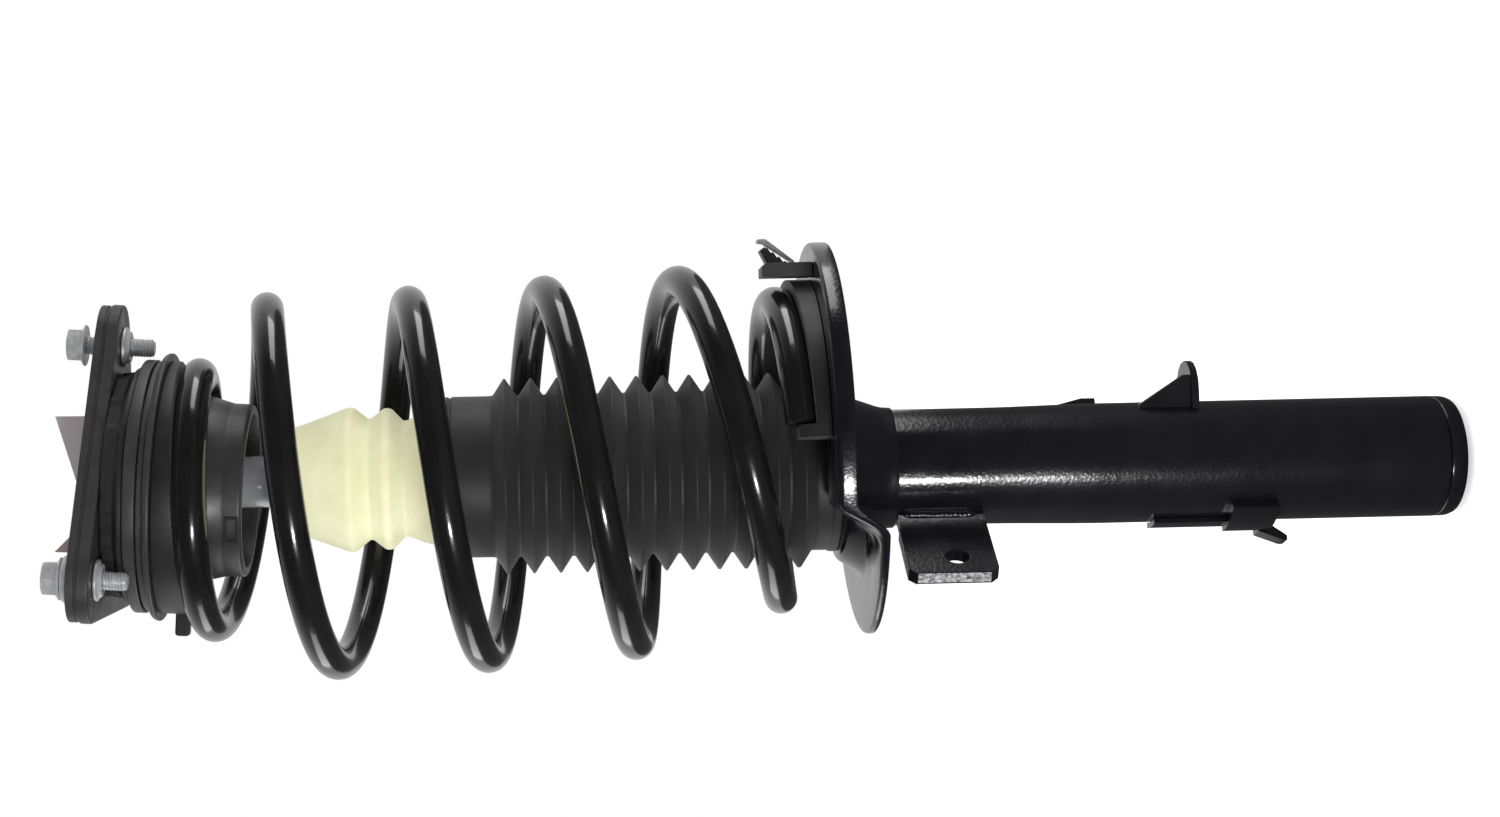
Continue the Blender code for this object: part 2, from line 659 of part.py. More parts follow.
def build_clip_bracket(paint):
    """Build the strap, the folded pocket and the hook on the tube's -X side."""
    inner = TUBE_RADIUS + GAP
    bracket = arc_block("clip_bracket", inner, STRAP_RADIUS, STRAP_ANGLES, STRAP_LOW, STRAP_HIGH, paint)
    pocket = arc_block("clip_pocket_guide", inner + 0.01, POCKET_RADIUS, POCKET_ANGLES, POCKET_LOW,
                       POCKET_HIGH, paint)
    hook_outline = [
        (STRAP_RADIUS - 1.0, POCKET_LOW + 4.0), (STRAP_RADIUS - 1.0, POCKET_LOW - 1.0),
        (HOOK_REACH - 2.0, HOOK_LOW), (HOOK_REACH, HOOK_LOW), (HOOK_REACH, HOOK_LOW + 2.0),
        (POCKET_RADIUS, POCKET_LOW + 4.0),
    ]
    hook = prism("clip_hook_guide", hook_outline, 0.0, 8.0, paint)
    stand_on_edge(hook, 197.0, 4.0)
    join(bracket, pocket)
    join(bracket, hook)


def build_sensor_tab(paint):
    """Build the small tab behind the tube."""
    outline = [(TUBE_RADIUS - 4.0, TAB_LOW), (TAB_REACH, TAB_LOW), (TAB_REACH, TAB_LOW + 6.0),
               (TUBE_RADIUS + 1.0, TAB_HIGH), (TUBE_RADIUS - 4.0, TAB_HIGH)]
    tab = prism("sensor_tab", outline, 0.0, TAB_THICKNESS, paint)
    stand_on_edge(tab, TAB_ANGLE)
    cut(tab, tube_clearance("sensor_tab_cutter", TAB_LOW - 5.0, TAB_HIGH + 5.0, paint))


def build_retainer(plastic, zinc):
    """Build the block at the pan's rim with its harness clip and zinc tongue."""
    first_coil = spring_point(-SPRING_START_ANGLE / 360.0)
    inner = first_coil.x + WIRE_RADIUS + TROUGH_CLEARANCE + TROUGH_WALL + GAP
    outer = inner + 6.0
    floor = pan_floor(outer) + GAP
    block = prism("spring_retainer", [
        (inner, floor), (outer, floor), (outer, floor + 19.0), (outer - 2.0, floor + 21.0),
        (inner, floor + 21.0),
    ], 0.0, 16.0, plastic)
    stand_on_edge(block, 0.0, 8.0)
    clip_inner = outer + GAP
    clip = prism("harness_clip", [
        (clip_inner, floor + 3.0), (clip_inner + 5.0, floor + 3.0), (clip_inner + 9.0, floor + 9.0),
        (clip_inner + 9.0, floor + 15.0), (clip_inner, floor + 15.0),
    ], 0.0, 12.0, plastic)
    stand_on_edge(clip, 0.0, 6.0)
    pin_inner = clip_inner + 9.0 + GAP
    pin = prism("harness_clip_pin", [
        (pin_inner, floor + 8.0), (pin_inner + 2.0, floor + 8.0), (pin_inner + 2.0, floor + 22.0),
        (pin_inner - 4.0, floor + 22.0), (pin_inner - 4.0, floor + 20.0), (pin_inner, floor + 20.0),
    ], 0.0, 6.0, zinc)
    stand_on_edge(pin, 0.0, 3.0)


def lobed_outline(centres, radius, steps):
    """Return the hull of equal circles whose centres run anticlockwise."""
    outline = []
    for index, centre in enumerate(centres):
        before = centre - centres[index - 1]
        after = centres[(index + 1) % len(centres)] - centre
        start = math.atan2(-before.x, before.y)
        end = math.atan2(-after.x, after.y)
        sweep = (end - start) % (2.0 * math.pi)
        for step in range(steps + 1):
            angle = start + sweep * step / steps
            outline.append((centre.x + radius * math.cos(angle), centre.y + radius * math.sin(angle)))
    return outline


def bolt_places():
    """Return the three bolt centres in the mount's frame."""
    return [Vector((BOLT_CIRCLE * math.cos(math.radians(angle)), BOLT_CIRCLE * math.sin(math.radians(angle))))
            for angle in BOLT_ANGLES]


def build_mount(frame, plastic, rubber, steel, card):
    """Build the pieces of the top mount, in its leaning frame."""
    places = bolt_places()
    holes = [hole(0.0, 0.0, PLATE_BORE, ROUND_STEPS)]
    holes += [hole(place.x, place.y, BOLT_HOLE_RADIUS, 16) for place in places]
    plate_top = PLATE_BOTTOM + PLATE_THICKNESS
    prism("mount_plate", lobed_outline(places, LOBE_RADIUS, 10), PLATE_BOTTOM, plate_top, plastic,
          frame, holes=holes)
    bore = PLATE_BORE - GAP
    housing_top = PLATE_BOTTOM - GAP
    lip_top = HOUSING_BOTTOM + HOUSING_LIP
    turned("mount_housing", [
        (HOUSING_LIP_RADIUS, HOUSING_BOTTOM), (HOUSING_RADIUS, HOUSING_BOTTOM),
        (HOUSING_RADIUS, housing_top), (bore, housing_top), (bore, lip_top), (HOUSING_LIP_RADIUS, lip_top),
    ], plastic, frame)
    cavity = []
    for step in range(9):
        height = -BUSH_HALF_HEIGHT + 2.0 * BUSH_HALF_HEIGHT * step / 8
        cavity.append((math.sqrt((SLEEVE_SPHERE + FIT_GAP) ** 2 - height ** 2), height))
    turned("rubber_bush", cavity + [(bore - GAP, BUSH_HALF_HEIGHT), (bore - GAP, -BUSH_HALF_HEIGHT)],
           rubber, frame)
    shell_top = HOUSING_BOTTOM - GAP
    shell_low = BEARING_SPLIT + GAP
    channel_top = BEARING_SPLIT + BALL_RADIUS + 2.0 * GAP + 0.1
    inner_wall = BEARING_INNER_RADIUS + BEARING_WALL
    outer_wall = BEARING_OUTER_RADIUS - BEARING_WALL
    turned("bearing_upper_shell", [
        (BEARING_INNER_RADIUS, shell_top), (BEARING_INNER_RADIUS, shell_low), (inner_wall, shell_low),
        (inner_wall, channel_top), (outer_wall, channel_top), (outer_wall, shell_low),
        (BEARING_OUTER_RADIUS, shell_low), (BEARING_OUTER_RADIUS, shell_top),
    ], plastic, frame)
    for index, place in enumerate(places):
        build_bolt(frame, index, place, steel)
    tag = prism("blank_tag", [
        (28.0, plate_top + GAP), (-22.0, plate_top + GAP), (-12.5, plate_top + 3.7), (26.5, plate_top + 14.7),
    ], 0.0, 0.6, card, frame)
    tag.rotation_euler = (math.pi / 2.0, 0.0, 0.0)
    tag.location = (0.0, 8.5 * MM, 0.0)
    label = prism("blank_label", [
        (-18.0, plate_top + GAP), (-27.5, plate_top + GAP), (-27.5, plate_top + 9.0),
    ], 0.0, 0.6, card, frame)
    label.rotation_euler = (math.pi / 2.0, 0.0, 0.0)
    label.location = (0.0, -38.0 * MM, 0.0)


def build_bolt(frame, index, place, steel):
    """Build one mount bolt with its washer and its retainer under the plate."""
    number = index + 1
    plate_top = PLATE_BOTTOM + PLATE_THICKNESS
    washer_low = plate_top + GAP
    washer_top = washer_low + WASHER_THICKNESS[index]
    head_low = washer_top + BOLT_LIFT[index]
    flange_top = head_low + BOLT_FLANGE_HEIGHT
    steps = 18
    bolt_rings = [
        circle(BOLT_RADIUS, PLATE_BOTTOM - BOLT_BELOW_PLATE, steps), circle(BOLT_RADIUS, head_low, steps),
        circle(BOLT_FLANGE_RADIUS, head_low, steps), circle(BOLT_FLANGE_RADIUS, flange_top, steps),
        hexagon(BOLT_FLATS, flange_top, steps), hexagon(BOLT_FLATS, flange_top + BOLT_HEAD_HEIGHT, steps),
    ]
    bolt = loft(f"mount_bolt_{number}", bolt_rings, steel, frame, wrap=False)
    bore = BOLT_RADIUS + FIT_GAP
    washer = turned(f"bolt_washer_{number}", [
        (bore, washer_low), (WASHER_RADIUS, washer_low), (WASHER_RADIUS, washer_top), (bore, washer_top),
    ], steel, frame, steps=steps)
    clip_top = PLATE_BOTTOM - GAP
    clip = turned(f"bolt_retainer_{number}", [
        (bore, clip_top - CLIP_THICKNESS), (CLIP_RADIUS, clip_top - CLIP_THICKNESS),
        (CLIP_RADIUS, clip_top), (bore, clip_top),
    ], steel, frame, steps=steps)
    for item in (bolt, washer, clip):
        item.location = (place.x * MM, place.y * MM, 0.0)


def build_seat(frame, plastic, rubber, steel):
    """Build the upper spring seat, its bearing race and cage, and the upper isolator."""
    race_top = BEARING_SPLIT - GAP
    race_low = SEAT_TOP + GAP
    channel_floor = BEARING_SPLIT - BALL_RADIUS + 0.1
    inner_wall = BEARING_INNER_RADIUS + BEARING_WALL
    outer_wall = BEARING_OUTER_RADIUS - BEARING_WALL
    turned("bearing_lower_race", [
        (BEARING_INNER_RADIUS + GAP, race_low), (BEARING_INNER_RADIUS + GAP, race_top),
        (inner_wall, race_top), (inner_wall, channel_floor), (outer_wall, channel_floor),
        (outer_wall, race_top), (BEARING_OUTER_RADIUS - 0.7, race_top),
        (BEARING_OUTER_RADIUS - 0.7, race_low),
    ], plastic, frame)
    ball_height = BEARING_SPLIT + 2.0 * GAP - 0.2
    cage = turned("bearing_cage", [
        (BALL_TRACK_RADIUS - 3.5, ball_height - 0.7), (BALL_TRACK_RADIUS - 3.5, ball_height + 0.7),
        (BALL_TRACK_RADIUS + 3.5, ball_height + 0.7), (BALL_TRACK_RADIUS + 3.5, ball_height - 0.7),
    ], steel, frame)
    bm = bmesh.new()
    for index in range(BALL_COUNT):
        angle = 2.0 * math.pi * index / BALL_COUNT
        place = Matrix.Translation((BALL_TRACK_RADIUS * math.cos(angle), BALL_TRACK_RADIUS * math.sin(angle),
                                    ball_height))
        bmesh.ops.create_uvsphere(bm, u_segments=6, v_segments=4, radius=BALL_RADIUS - GAP, matrix=place)
    join(cage, add_object("bearing_ball_guides", bm, steel, frame))
    turned("upper_spring_seat", [
        (SEAT_BORE, SEAT_TOP), (SEAT_BORE, SEAT_BOTTOM), (SEAT_NOSE_RADIUS, SEAT_BOTTOM),
        (SEAT_NOSE_RADIUS, SEAT_BOTTOM + 8.5), (SEAT_SHOULDER_RADIUS, ISOLATOR_BOTTOM - 2.0),
        (SEAT_SHOULDER_RADIUS, SEAT_TOP - SEAT_FLANGE), (SEAT_FLANGE_RADIUS, SEAT_TOP - SEAT_FLANGE),
        (SEAT_FLANGE_RADIUS, SEAT_TOP),
    ], plastic, frame)
    build_upper_isolator(frame, rubber)


def build_upper_isolator(frame, rubber):
    """Build the stepped rubber ring between the seat and the spring's last turn."""
    lean = math.radians(MOUNT_LEAN)
    normal = Vector((math.sin(lean), 0.0, math.cos(lean)))
    centre = Vector((0.0, 0.0, MOUNT_CENTRE_HEIGHT))
    top = SEAT_TOP - SEAT_FLANGE - GAP
    last_turn = SPRING_STATIONS[-1][0]
    behind_tip = 3.0
    angles = [behind_tip + 360.0 * index / ISOLATOR_STEPS for index in range(ISOLATOR_STEPS)]
    angles.append(angles[0] + 359.5)
    sections = []
    for passed in angles:
        turn = last_turn - 1.0 + passed / 360.0
        degrees = SPRING_START_ANGLE + 360.0 * turn
        wire = spring_point(min(turn, last_turn)) - centre
        wire_top = wire.dot(normal) + WIRE_RADIUS + SEAT_CLEARANCE
        low = max(wire_top, ISOLATOR_BOTTOM)
        angle = math.radians(degrees)
        across = Vector((math.cos(angle), math.sin(angle), 0.0))
        inner = SEAT_SHOULDER_RADIUS + GAP
        profile = ((inner, top), (ISOLATOR_RADIUS, top), (ISOLATOR_RADIUS, low), (inner, low))
        sections.append([across * radius + Vector((0.0, 0.0, height)) for radius, height in profile])
    loft("upper_isolator", sections, rubber, frame)


def main():
    """Build the whole strut."""
    clear_scene()
    black_paint = finish("black_paint", (0.012, 0.012, 0.014), 0.25)
    black_plastic = finish("black_plastic", (0.045, 0.045, 0.046), 0.6)
    rubber = finish("black_rubber", (0.03, 0.03, 0.032), 0.75)
    zinc = finish("zinc_steel", (0.5, 0.5, 0.5), 0.35, 1.0)
    chrome = finish("chrome", (0.7, 0.7, 0.72), 0.08, 1.0)
    dark_steel = finish("sintered_steel", (0.2, 0.2, 0.2), 0.5, 1.0)
    foam = finish("cream_foam", (0.72, 0.71, 0.45), 0.6)
    card = finish("grey_card", (0.38, 0.34, 0.36), 0.7)

    build_tube(black_paint)
    guide_low = build_damper_inside(zinc, dark_steel, rubber)
    build_pan(black_paint)
    build_lower_isolator(rubber)
    build_retainer(black_plastic, zinc)
    build_link_bracket(black_paint)
    build_hose_bracket(black_paint)
    build_clip_bracket(black_paint)
    build_sensor_tab(black_paint)
    build_spring(black_paint)
    build_boot(rubber)
    build_rod(chrome, dark_steel, zinc, rubber, foam, guide_low)
    mount_frame = add_frame("mount_frame", (0.0, 0.0, MOUNT_CENTRE_HEIGHT), MOUNT_LEAN)
    build_seat(mount_frame, black_plastic, rubber, zinc)
    build_mount(mount_frame, black_plastic, rubber, zinc, card)


main()
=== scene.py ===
"""Looks of a front suspension strut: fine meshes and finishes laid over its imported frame.

Sizes in the strut's classes are millimetres, and `MM` turns them into metres; the studio's are
metres.  The damper's axis is +Z, the hose bracket stands towards +X, and the top mount's axis
leans from the damper's by `MountFrame.lean`.
"""
import logging
import math
from dataclasses import dataclass
from enum import Enum
from typing import Callable, Iterable, Optional, Sequence

import bmesh
import bpy
from mathutils import Matrix, Vector, noise


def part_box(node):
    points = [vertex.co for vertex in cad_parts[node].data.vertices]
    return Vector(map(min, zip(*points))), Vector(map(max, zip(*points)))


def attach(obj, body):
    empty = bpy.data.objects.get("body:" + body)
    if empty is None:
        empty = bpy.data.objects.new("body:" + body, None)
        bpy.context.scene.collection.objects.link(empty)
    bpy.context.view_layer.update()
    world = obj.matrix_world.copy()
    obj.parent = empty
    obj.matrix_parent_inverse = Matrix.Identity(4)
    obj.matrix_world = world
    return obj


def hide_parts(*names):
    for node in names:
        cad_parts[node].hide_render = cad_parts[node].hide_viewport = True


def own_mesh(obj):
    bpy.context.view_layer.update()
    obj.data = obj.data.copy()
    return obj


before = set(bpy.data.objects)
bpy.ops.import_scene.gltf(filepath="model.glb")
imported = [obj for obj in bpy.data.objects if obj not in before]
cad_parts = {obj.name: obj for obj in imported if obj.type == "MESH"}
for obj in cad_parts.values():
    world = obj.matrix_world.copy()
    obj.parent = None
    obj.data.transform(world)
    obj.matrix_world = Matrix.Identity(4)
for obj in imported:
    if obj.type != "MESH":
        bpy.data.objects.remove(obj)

MM = 0.001
LOG = logging.getLogger("strut")

# The clearance that seated pieces keep, in millimetres.
GAP = 0.3
# Turns a plate that is drawn in X-Y so that it stands in X-Z.
UPRIGHT = Matrix.Rotation(math.pi / 2, 4, 'X')

Profile = list[tuple[float, float]]
Ring = list[Vector]


class Body(str, Enum):
    """The moving groups of the strut."""

    DAMPER = "damper_body"
    SEAT = "spring_seat"
    ROD = "piston_rod"
    MOUNT = "top_mount"


class Grain(Enum):
    """How a surface was made, which sets the shape of its fine relief."""

    ORANGE_PEEL = "sprayed or powder coated"
    MOULDED = "moulded against a spark-eroded tool"
    CELLULAR = "foamed in a mould"
    GROUND = "ground or turned round the Z axis"
    SHEARED = "cut in a press, streaked across the sheet"
    FIBROUS = "paper fibres"


# --------------------------------------------------------------------------- finishes


def linear(hex_colour: str) -> tuple[float, float, float, float]:
    """Turn an sRGB hex colour into linear values.

    Args:
        hex_colour: six hex digits, with or without a leading hash.

    Returns:
        Red, green, blue and an alpha of 1.
    """
    digits = hex_colour.lstrip("#")
    values = [int(digits[start:start + 2], 16) / 255.0 for start in (0, 2, 4)]
    channels = [v / 12.92 if v <= 0.04045 else ((v + 0.055) / 1.055) ** 2.4 for v in values]
    return (channels[0], channels[1], channels[2], 1.0)


def add_node(tree: bpy.types.NodeTree, kind: str, settings: Optional[dict] = None,
             links: Optional[dict] = None) -> bpy.types.Node:
    """Add a node with its settings and links.

    Args:
        tree: the node tree it goes into.
        kind: the node's Blender type name.
        settings: values by input socket or by property name.
        links: output sockets by the name of the input that each one feeds.

    Returns:
        The new node.
    """
    node = tree.nodes.new(kind)
    for key, value in (settings or {}).items():
        if isinstance(key, int) or key in node.inputs:
            node.inputs[key].default_value = value
        else:
            setattr(node, key, value)
    for key, source in (links or {}).items():
        tree.links.new(source, node.inputs[key])
    return node


@dataclass(frozen=True)
class Finish:
    """One real finish: its two close colours, its gloss, and the size and depth of its relief."""

    name: str
    colour: str
    shade: str
    roughness: float
    grain: Grain
    grain_mm: float
    relief_mm: float
    metallic: float = 0.0
    roughness_spread: float = 0.05
    patch_mm: float = 18.0
    coat: float = 0.0
    coat_roughness: float = 0.05
    sheen: float = 0.0
    subsurface: float = 0.0
    ior: float = 1.5

    def material(self) -> bpy.types.Material:
        """Return the finish's material, built at its first use."""
        known = bpy.data.materials.get(self.name)
        return known if known else self._build()

    def _build(self) -> bpy.types.Material:
        """Build the node tree: patchy colour, uneven gloss and fine relief.

        Returns:
            The new material.
        """
        material = bpy.data.materials.new(self.name)
        material.use_nodes = True
        tree = material.node_tree
        shader = tree.nodes["Principled BSDF"]
        for socket, value in {
            "Metallic": self.metallic, "Coat Weight": self.coat, "Coat Roughness": self.coat_roughness,
            "Sheen Weight": self.sheen, "Sheen Roughness": 0.5, "Subsurface Weight": self.subsurface,
            "Subsurface Scale": 0.004, "IOR": self.ior,
        }.items():
            shader.inputs[socket].default_value = value
        place = add_node(tree, "ShaderNodeTexCoord").outputs["Object"]
        patches = add_node(tree, "ShaderNodeTexNoise",
                           {"Scale": 1.0 / (self.patch_mm * MM), "Detail": 4.0, "Roughness": 0.6},
                           {"Vector": place})
        ramp = add_node(tree, "ShaderNodeValToRGB", links={"Fac": patches.outputs["Fac"]})
        ramp.color_ramp.elements[0].position = 0.3
        ramp.color_ramp.elements[0].color = linear(self.shade)
        ramp.color_ramp.elements[1].position = 0.7
        ramp.color_ramp.elements[1].color = linear(self.colour)
        tree.links.new(ramp.outputs["Color"], shader.inputs["Base Color"])
        height = self._relief(tree, place)
        gloss = add_node(tree, "ShaderNodeMapRange",
                         {"From Min": 0.3, "From Max": 0.7,
                          "To Min": max(self.roughness - self.roughness_spread, 0.02),
                          "To Max": self.roughness + self.roughness_spread},
                         {"Value": patches.outputs["Fac"]})
        tree.links.new(gloss.outputs["Result"], shader.inputs["Roughness"])
        bump = add_node(tree, "ShaderNodeBump", {"Strength": 0.6, "Distance": self.relief_mm * MM},
                        {"Height": height})
        tree.links.new(bump.outputs["Normal"], shader.inputs["Normal"])
        return material

    def _relief(self, tree: bpy.types.NodeTree,
                place: bpy.types.NodeSocket) -> bpy.types.NodeSocket:
        """Add the pattern of the surface's relief.

        Args:
            tree: the material's node tree.
            place: the object coordinates, in metres.

        Returns:
            The height, from 0 to 1.
        """
        scale = 1.0 / (self.grain_mm * MM)
        if self.grain is Grain.CELLULAR:
            cells = add_node(tree, "ShaderNodeTexVoronoi", {"Scale": scale, "feature": "F1"},
                             {"Vector": place})
            return cells.outputs["Distance"]
        stretch = {Grain.GROUND: (0.04, 0.04, 1.0), Grain.SHEARED: (0.12, 0.12, 1.0)}
        if self.grain in stretch:
            along = add_node(tree, "ShaderNodeMapping", {"Scale": stretch[self.grain]},
                             {"Vector": place})
            place = along.outputs["Vector"]
        detail = {Grain.ORANGE_PEEL: 1.0, Grain.MOULDED: 5.0, Grain.FIBROUS: 6.0}
        field = add_node(tree, "ShaderNodeTexNoise",
                         {"Scale": scale, "Detail": detail.get(self.grain, 3.0)}, {"Vector": place})
        return field.outputs["Fac"]


# Powder-coated spring steel: a thick, wet-looking black skin with soft orange peel, so lamps
# draw long bright lines on the wire.
SPRING_COAT = Finish("powder_coated_spring_steel", "#161617", "#101011", 0.2, Grain.ORANGE_PEEL,
                     2.2, 0.05, coat=0.6, coat_roughness=0.05, roughness_spread=0.03)
# Stoved enamel on the tube and pan: a little less deep than the powder, with a faint violet
# cast and a fine peel that breaks the lamp's reflection into grains.
TUBE_ENAMEL = Finish("stoved_black_enamel", "#131217", "#0e0d11", 0.2, Grain.ORANGE_PEEL,
                     1.5, 0.16, coat=0.5, coat_roughness=0.12, roughness_spread=0.04)
# Sheared steel edge: the press left streaks, and the enamel covers them only in part; the pale colour is
# also painted highlight, for the key lamp that this edge faces.
SHEARED_EDGE_HIGHLIGHT = Finish("sheared_edge_painted_highlight", "#e4e4e6", "#2a2a2c", 0.35, Grain.SHEARED, 0.6, 0.3,
                  metallic=0.4, roughness_spread=0.12, patch_mm=1.6)
# Glass-filled nylon: dull charcoal with a fine spark-eroded grain and slightly glossier patches.
FILLED_NYLON = Finish("glass_filled_nylon", "#353536", "#2d2d2e", 0.4, Grain.MOULDED, 0.55, 0.05,
                      roughness_spread=0.07, patch_mm=9.0)
# Darker nylon of the hub and of the window's frame in the seat's nose.
DARK_NYLON = Finish("dark_nylon", "#262627", "#1f1f20", 0.48, Grain.MOULDED, 0.6, 0.05, patch_mm=12.0)
# Natural and EPDM rubber: almost no mirror reflection, a bloom that lifts the grazing edges.
BOOT_EPDM = Finish("epdm_rubber", "#212122", "#1b1b1c", 0.55, Grain.MOULDED, 0.8, 0.05, sheen=0.12,
                   patch_mm=14.0)
SEAT_RUBBER = Finish("natural_rubber", "#1c1c1d", "#151516", 0.5, Grain.MOULDED, 0.9, 0.06, sheen=0.1,
                     patch_mm=10.0)
# Zinc-plated steel: pale grey, evenly spangled and only half bright.
ZINC = Finish("zinc_plated_steel", "#d0d0d2", "#b4b5b7", 0.38, Grain.MOULDED, 0.7, 0.03, metallic=0.55,
              roughness_spread=0.08, patch_mm=3.0)
# Hard-chromed rod: mirror bright, with grinding marks too fine to count drawn at 0.3 mm.
HARD_CHROME = Finish("hard_chromed_rod", "#e2e3e8", "#cfd0d6", 0.16, Grain.GROUND, 0.3, 0.004,
                     metallic=0.6, roughness_spread=0.03)
# Sintered iron: grey and porous.
SINTERED = Finish("sintered_iron", "#6a6866", "#4d4b4a", 0.5, Grain.CELLULAR, 0.4, 0.03, metallic=1.0,
                  roughness_spread=0.1, patch_mm=4.0)
# Microcellular polyurethane: waxy cream that lets a little light in, with pinhead cells.
BUMP_FOAM = Finish("microcellular_polyurethane", "#efeecb", "#e3e1b6", 0.5, Grain.CELLULAR, 0.7, 0.04,
                   subsurface=0.25, patch_mm=16.0, roughness_spread=0.06)
# Blank card: grey with a pink cast, flat and fibrous.
CARD = Finish("grey_card", "#c9bfc3", "#bdb4b8", 0.75, Grain.FIBROUS, 0.4, 0.02, patch_mm=12.0)
# Back of the same card: warmer. The small label shows it.
CARD_BACK = Finish("warm_card", "#a08a88", "#8d7775", 0.75, Grain.FIBROUS, 0.4, 0.02, patch_mm=8.0)


# --------------------------------------------------------------------------- mesh making


def finish_mesh(name: str, bm: bmesh.types.BMesh, matrix: Optional[Matrix] = None,
                sharp: float = 38.0) -> bpy.types.Object:
    """Turn a bmesh in millimetres into a smooth-shaded object in metres.

    Args:
        name: the object's name.
        bm: the mesh, which is used up.
        matrix: where it goes, in metres, applied to the mesh.
        sharp: edges over this angle, in degrees, stay sharp.

    Returns:
        The new object.
    """
    bmesh.ops.recalc_face_normals(bm, faces=bm.faces)
    mesh = bpy.data.meshes.new(name)
    bm.to_mesh(mesh)
    bm.free()
    mesh.transform(Matrix.Scale(MM, 4))
    if matrix:
        mesh.transform(matrix)
    mesh.shade_smooth()
    mesh.set_sharp_from_angle(angle=math.radians(sharp))
    item = bpy.data.objects.new(name, mesh)
    bpy.context.scene.collection.objects.link(item)
    return item


def skin(name: str, rings: Sequence[Sequence[Vector]], wrap: bool = True,
         matrix: Optional[Matrix] = None, sharp: float = 38.0) -> bpy.types.Object:
    """Skin a solid over rings of points.

    Args:
        name: the object's name.
        rings: closed rings with as many points each.
        wrap: join the last ring to the first; otherwise both ends are capped.
        matrix: where it goes.
        sharp: edges over this angle stay sharp.

    Returns:
        The new object.
    """
    bm = bmesh.new()
    loops = [[bm.verts.new(point) for point in ring] for ring in rings]
    pairs = list(zip(loops, loops[1:]))
    if wrap:
        pairs.append((loops[-1], loops[0]))
    else:
        bm.faces.new(loops[0])
        bm.faces.new(loops[-1])
    for lower, upper in pairs:
        for index, corner in enumerate(lower):
            following = (index + 1) % len(lower)
            bm.faces.new((corner, lower[following], upper[following], upper[index]))
    return finish_mesh(name, bm, matrix, sharp)


def polar(radius: float, angle: float, height: float = 0.0) -> Vector:
    """Return the point at a radius and an angle, in radians, about Z."""
    return Vector((radius * math.cos(angle), radius * math.sin(angle), height))


def circle(radius: float, height: float, steps: int) -> Ring:
    """Return a ring of points about Z."""
    turn = 2.0 * math.pi / steps
    return [polar(radius, index * turn, height) for index in range(steps)]


def hexagon(flats: float, height: float, steps: int) -> Ring:
    """Return a ring of points on a hexagon about Z.

    Args:
        flats: the width across flats.
        height: the ring's height.
        steps: points round the ring.

    Returns:
        The ring.
    """
    side = math.pi / 3.0
    ring = []
    for index in range(steps):
        angle = 2.0 * math.pi * index / steps
        within = (angle + side / 2.0) % side - side / 2.0
        ring.append(polar(flats / 2.0 / math.cos(within), angle, height))
    return ring


def rectangle(half_x: float, half_y: float) -> Profile:
    """Return the outline of a rectangle about the origin."""
    return [(-half_x, -half_y), (half_x, -half_y), (half_x, half_y), (-half_x, half_y)]


def rounded(points: Profile, radius: float, steps: int = 4, closed: bool = True) -> Profile:
    """Round every corner of an outline.

    Args:
        points: the corners.
        radius: how far from a corner its rounding starts; short sides take less.
        steps: points along each rounding.
        closed: the outline is a loop; otherwise its two ends stay as they are.

    Returns:
        The outline with rounded corners.
    """
    corners = [Vector(point) for point in points]
    outline: Profile = []
    for index, corner in enumerate(corners):
        if not closed and index in (0, len(corners) - 1):
            outline.append(tuple(corner))
            continue
        before = corners[index - 1] - corner
        after = corners[(index + 1) % len(corners)] - corner
        reach = min(radius, 0.45 * before.length, 0.45 * after.length)
        start = corner + before.normalized() * reach
        end = corner + after.normalized() * reach
        for step in range(steps + 1):
            share = step / steps
            bend = start.lerp(corner, share).lerp(corner.lerp(end, share), share)
            outline.append(tuple(bend))
    return outline


def turned(name: str, profile: Profile, radius: float = 0.4, solid: bool = False,
           matrix: Optional[Matrix] = None, steps: int = 128,
           shape: Optional[Callable[[float, float, float], float]] = None) -> bpy.types.Object:
    """Turn a profile of (radius, height) about Z, with its corners rounded.

    Args:
        name: the object's name.
        profile: the corners, in millimetres.
        radius: the rounding of each corner.
        solid: the profile is open and its flat ends are capped.
        matrix: where it goes.
        steps: points round the axis.
        shape: gives a change of radius from the angle, the height and the radius.

    Returns:
        The new object.
    """
    line = rounded(profile, radius, closed=not solid)
    rings = []
    for reach, height in line:
        ring = []
        for index in range(steps):
            angle = 2.0 * math.pi * index / steps
            here = reach + (shape(angle, height, reach) if shape else 0.0)
            ring.append(polar(here, angle, height))
        rings.append(ring)
    return skin(name, rings, wrap=not solid, matrix=matrix)


def prism(name: str, outline: Profile, low: float, high: float, holes: Iterable[Profile] = (),
          matrix: Optional[Matrix] = None, edge: float = 0.6) -> bpy.types.Object:
    """Extrude an outline in X-Y along Z and round its rims with a bevel.

    Args:
        name: the object's name.
        outline: the outer loop.
        low: the lower height.
        high: the upper height.
        holes: inner loops.
        matrix: where it goes.
        edge: the width of the bevel.

    Returns:
        The new object.
    """
    bm = bmesh.new()
    levels = []
    for height in (low, high):
        loops = []
        edges = []
        for loop in (outline, *holes):
            corners = [bm.verts.new((x, y, height)) for x, y in loop]
            edges += [bm.edges.new(pair) for pair in zip(corners, corners[1:] + corners[:1])]
            loops.append(corners)
        fill = bmesh.ops.triangle_fill(bm, use_beauty=True, edges=edges)
        faces = [item for item in fill["geom"] if isinstance(item, bmesh.types.BMFace)]
        # A dictionary keeps the order, so that every run joins the triangles in the same way.
        sides = dict.fromkeys(side for face in faces for side in face.edges)
        bmesh.ops.dissolve_limit(bm, angle_limit=0.01, verts=[], edges=list(sides))
        levels.append(loops)
    for lower, upper in zip(*levels):
        for index, corner in enumerate(lower):
            following = (index + 1) % len(lower)
            bm.faces.new((corner, lower[following], upper[following], upper[index]))
    item = finish_mesh(name, bm, matrix)
    add_bevel(item, edge)
    return item


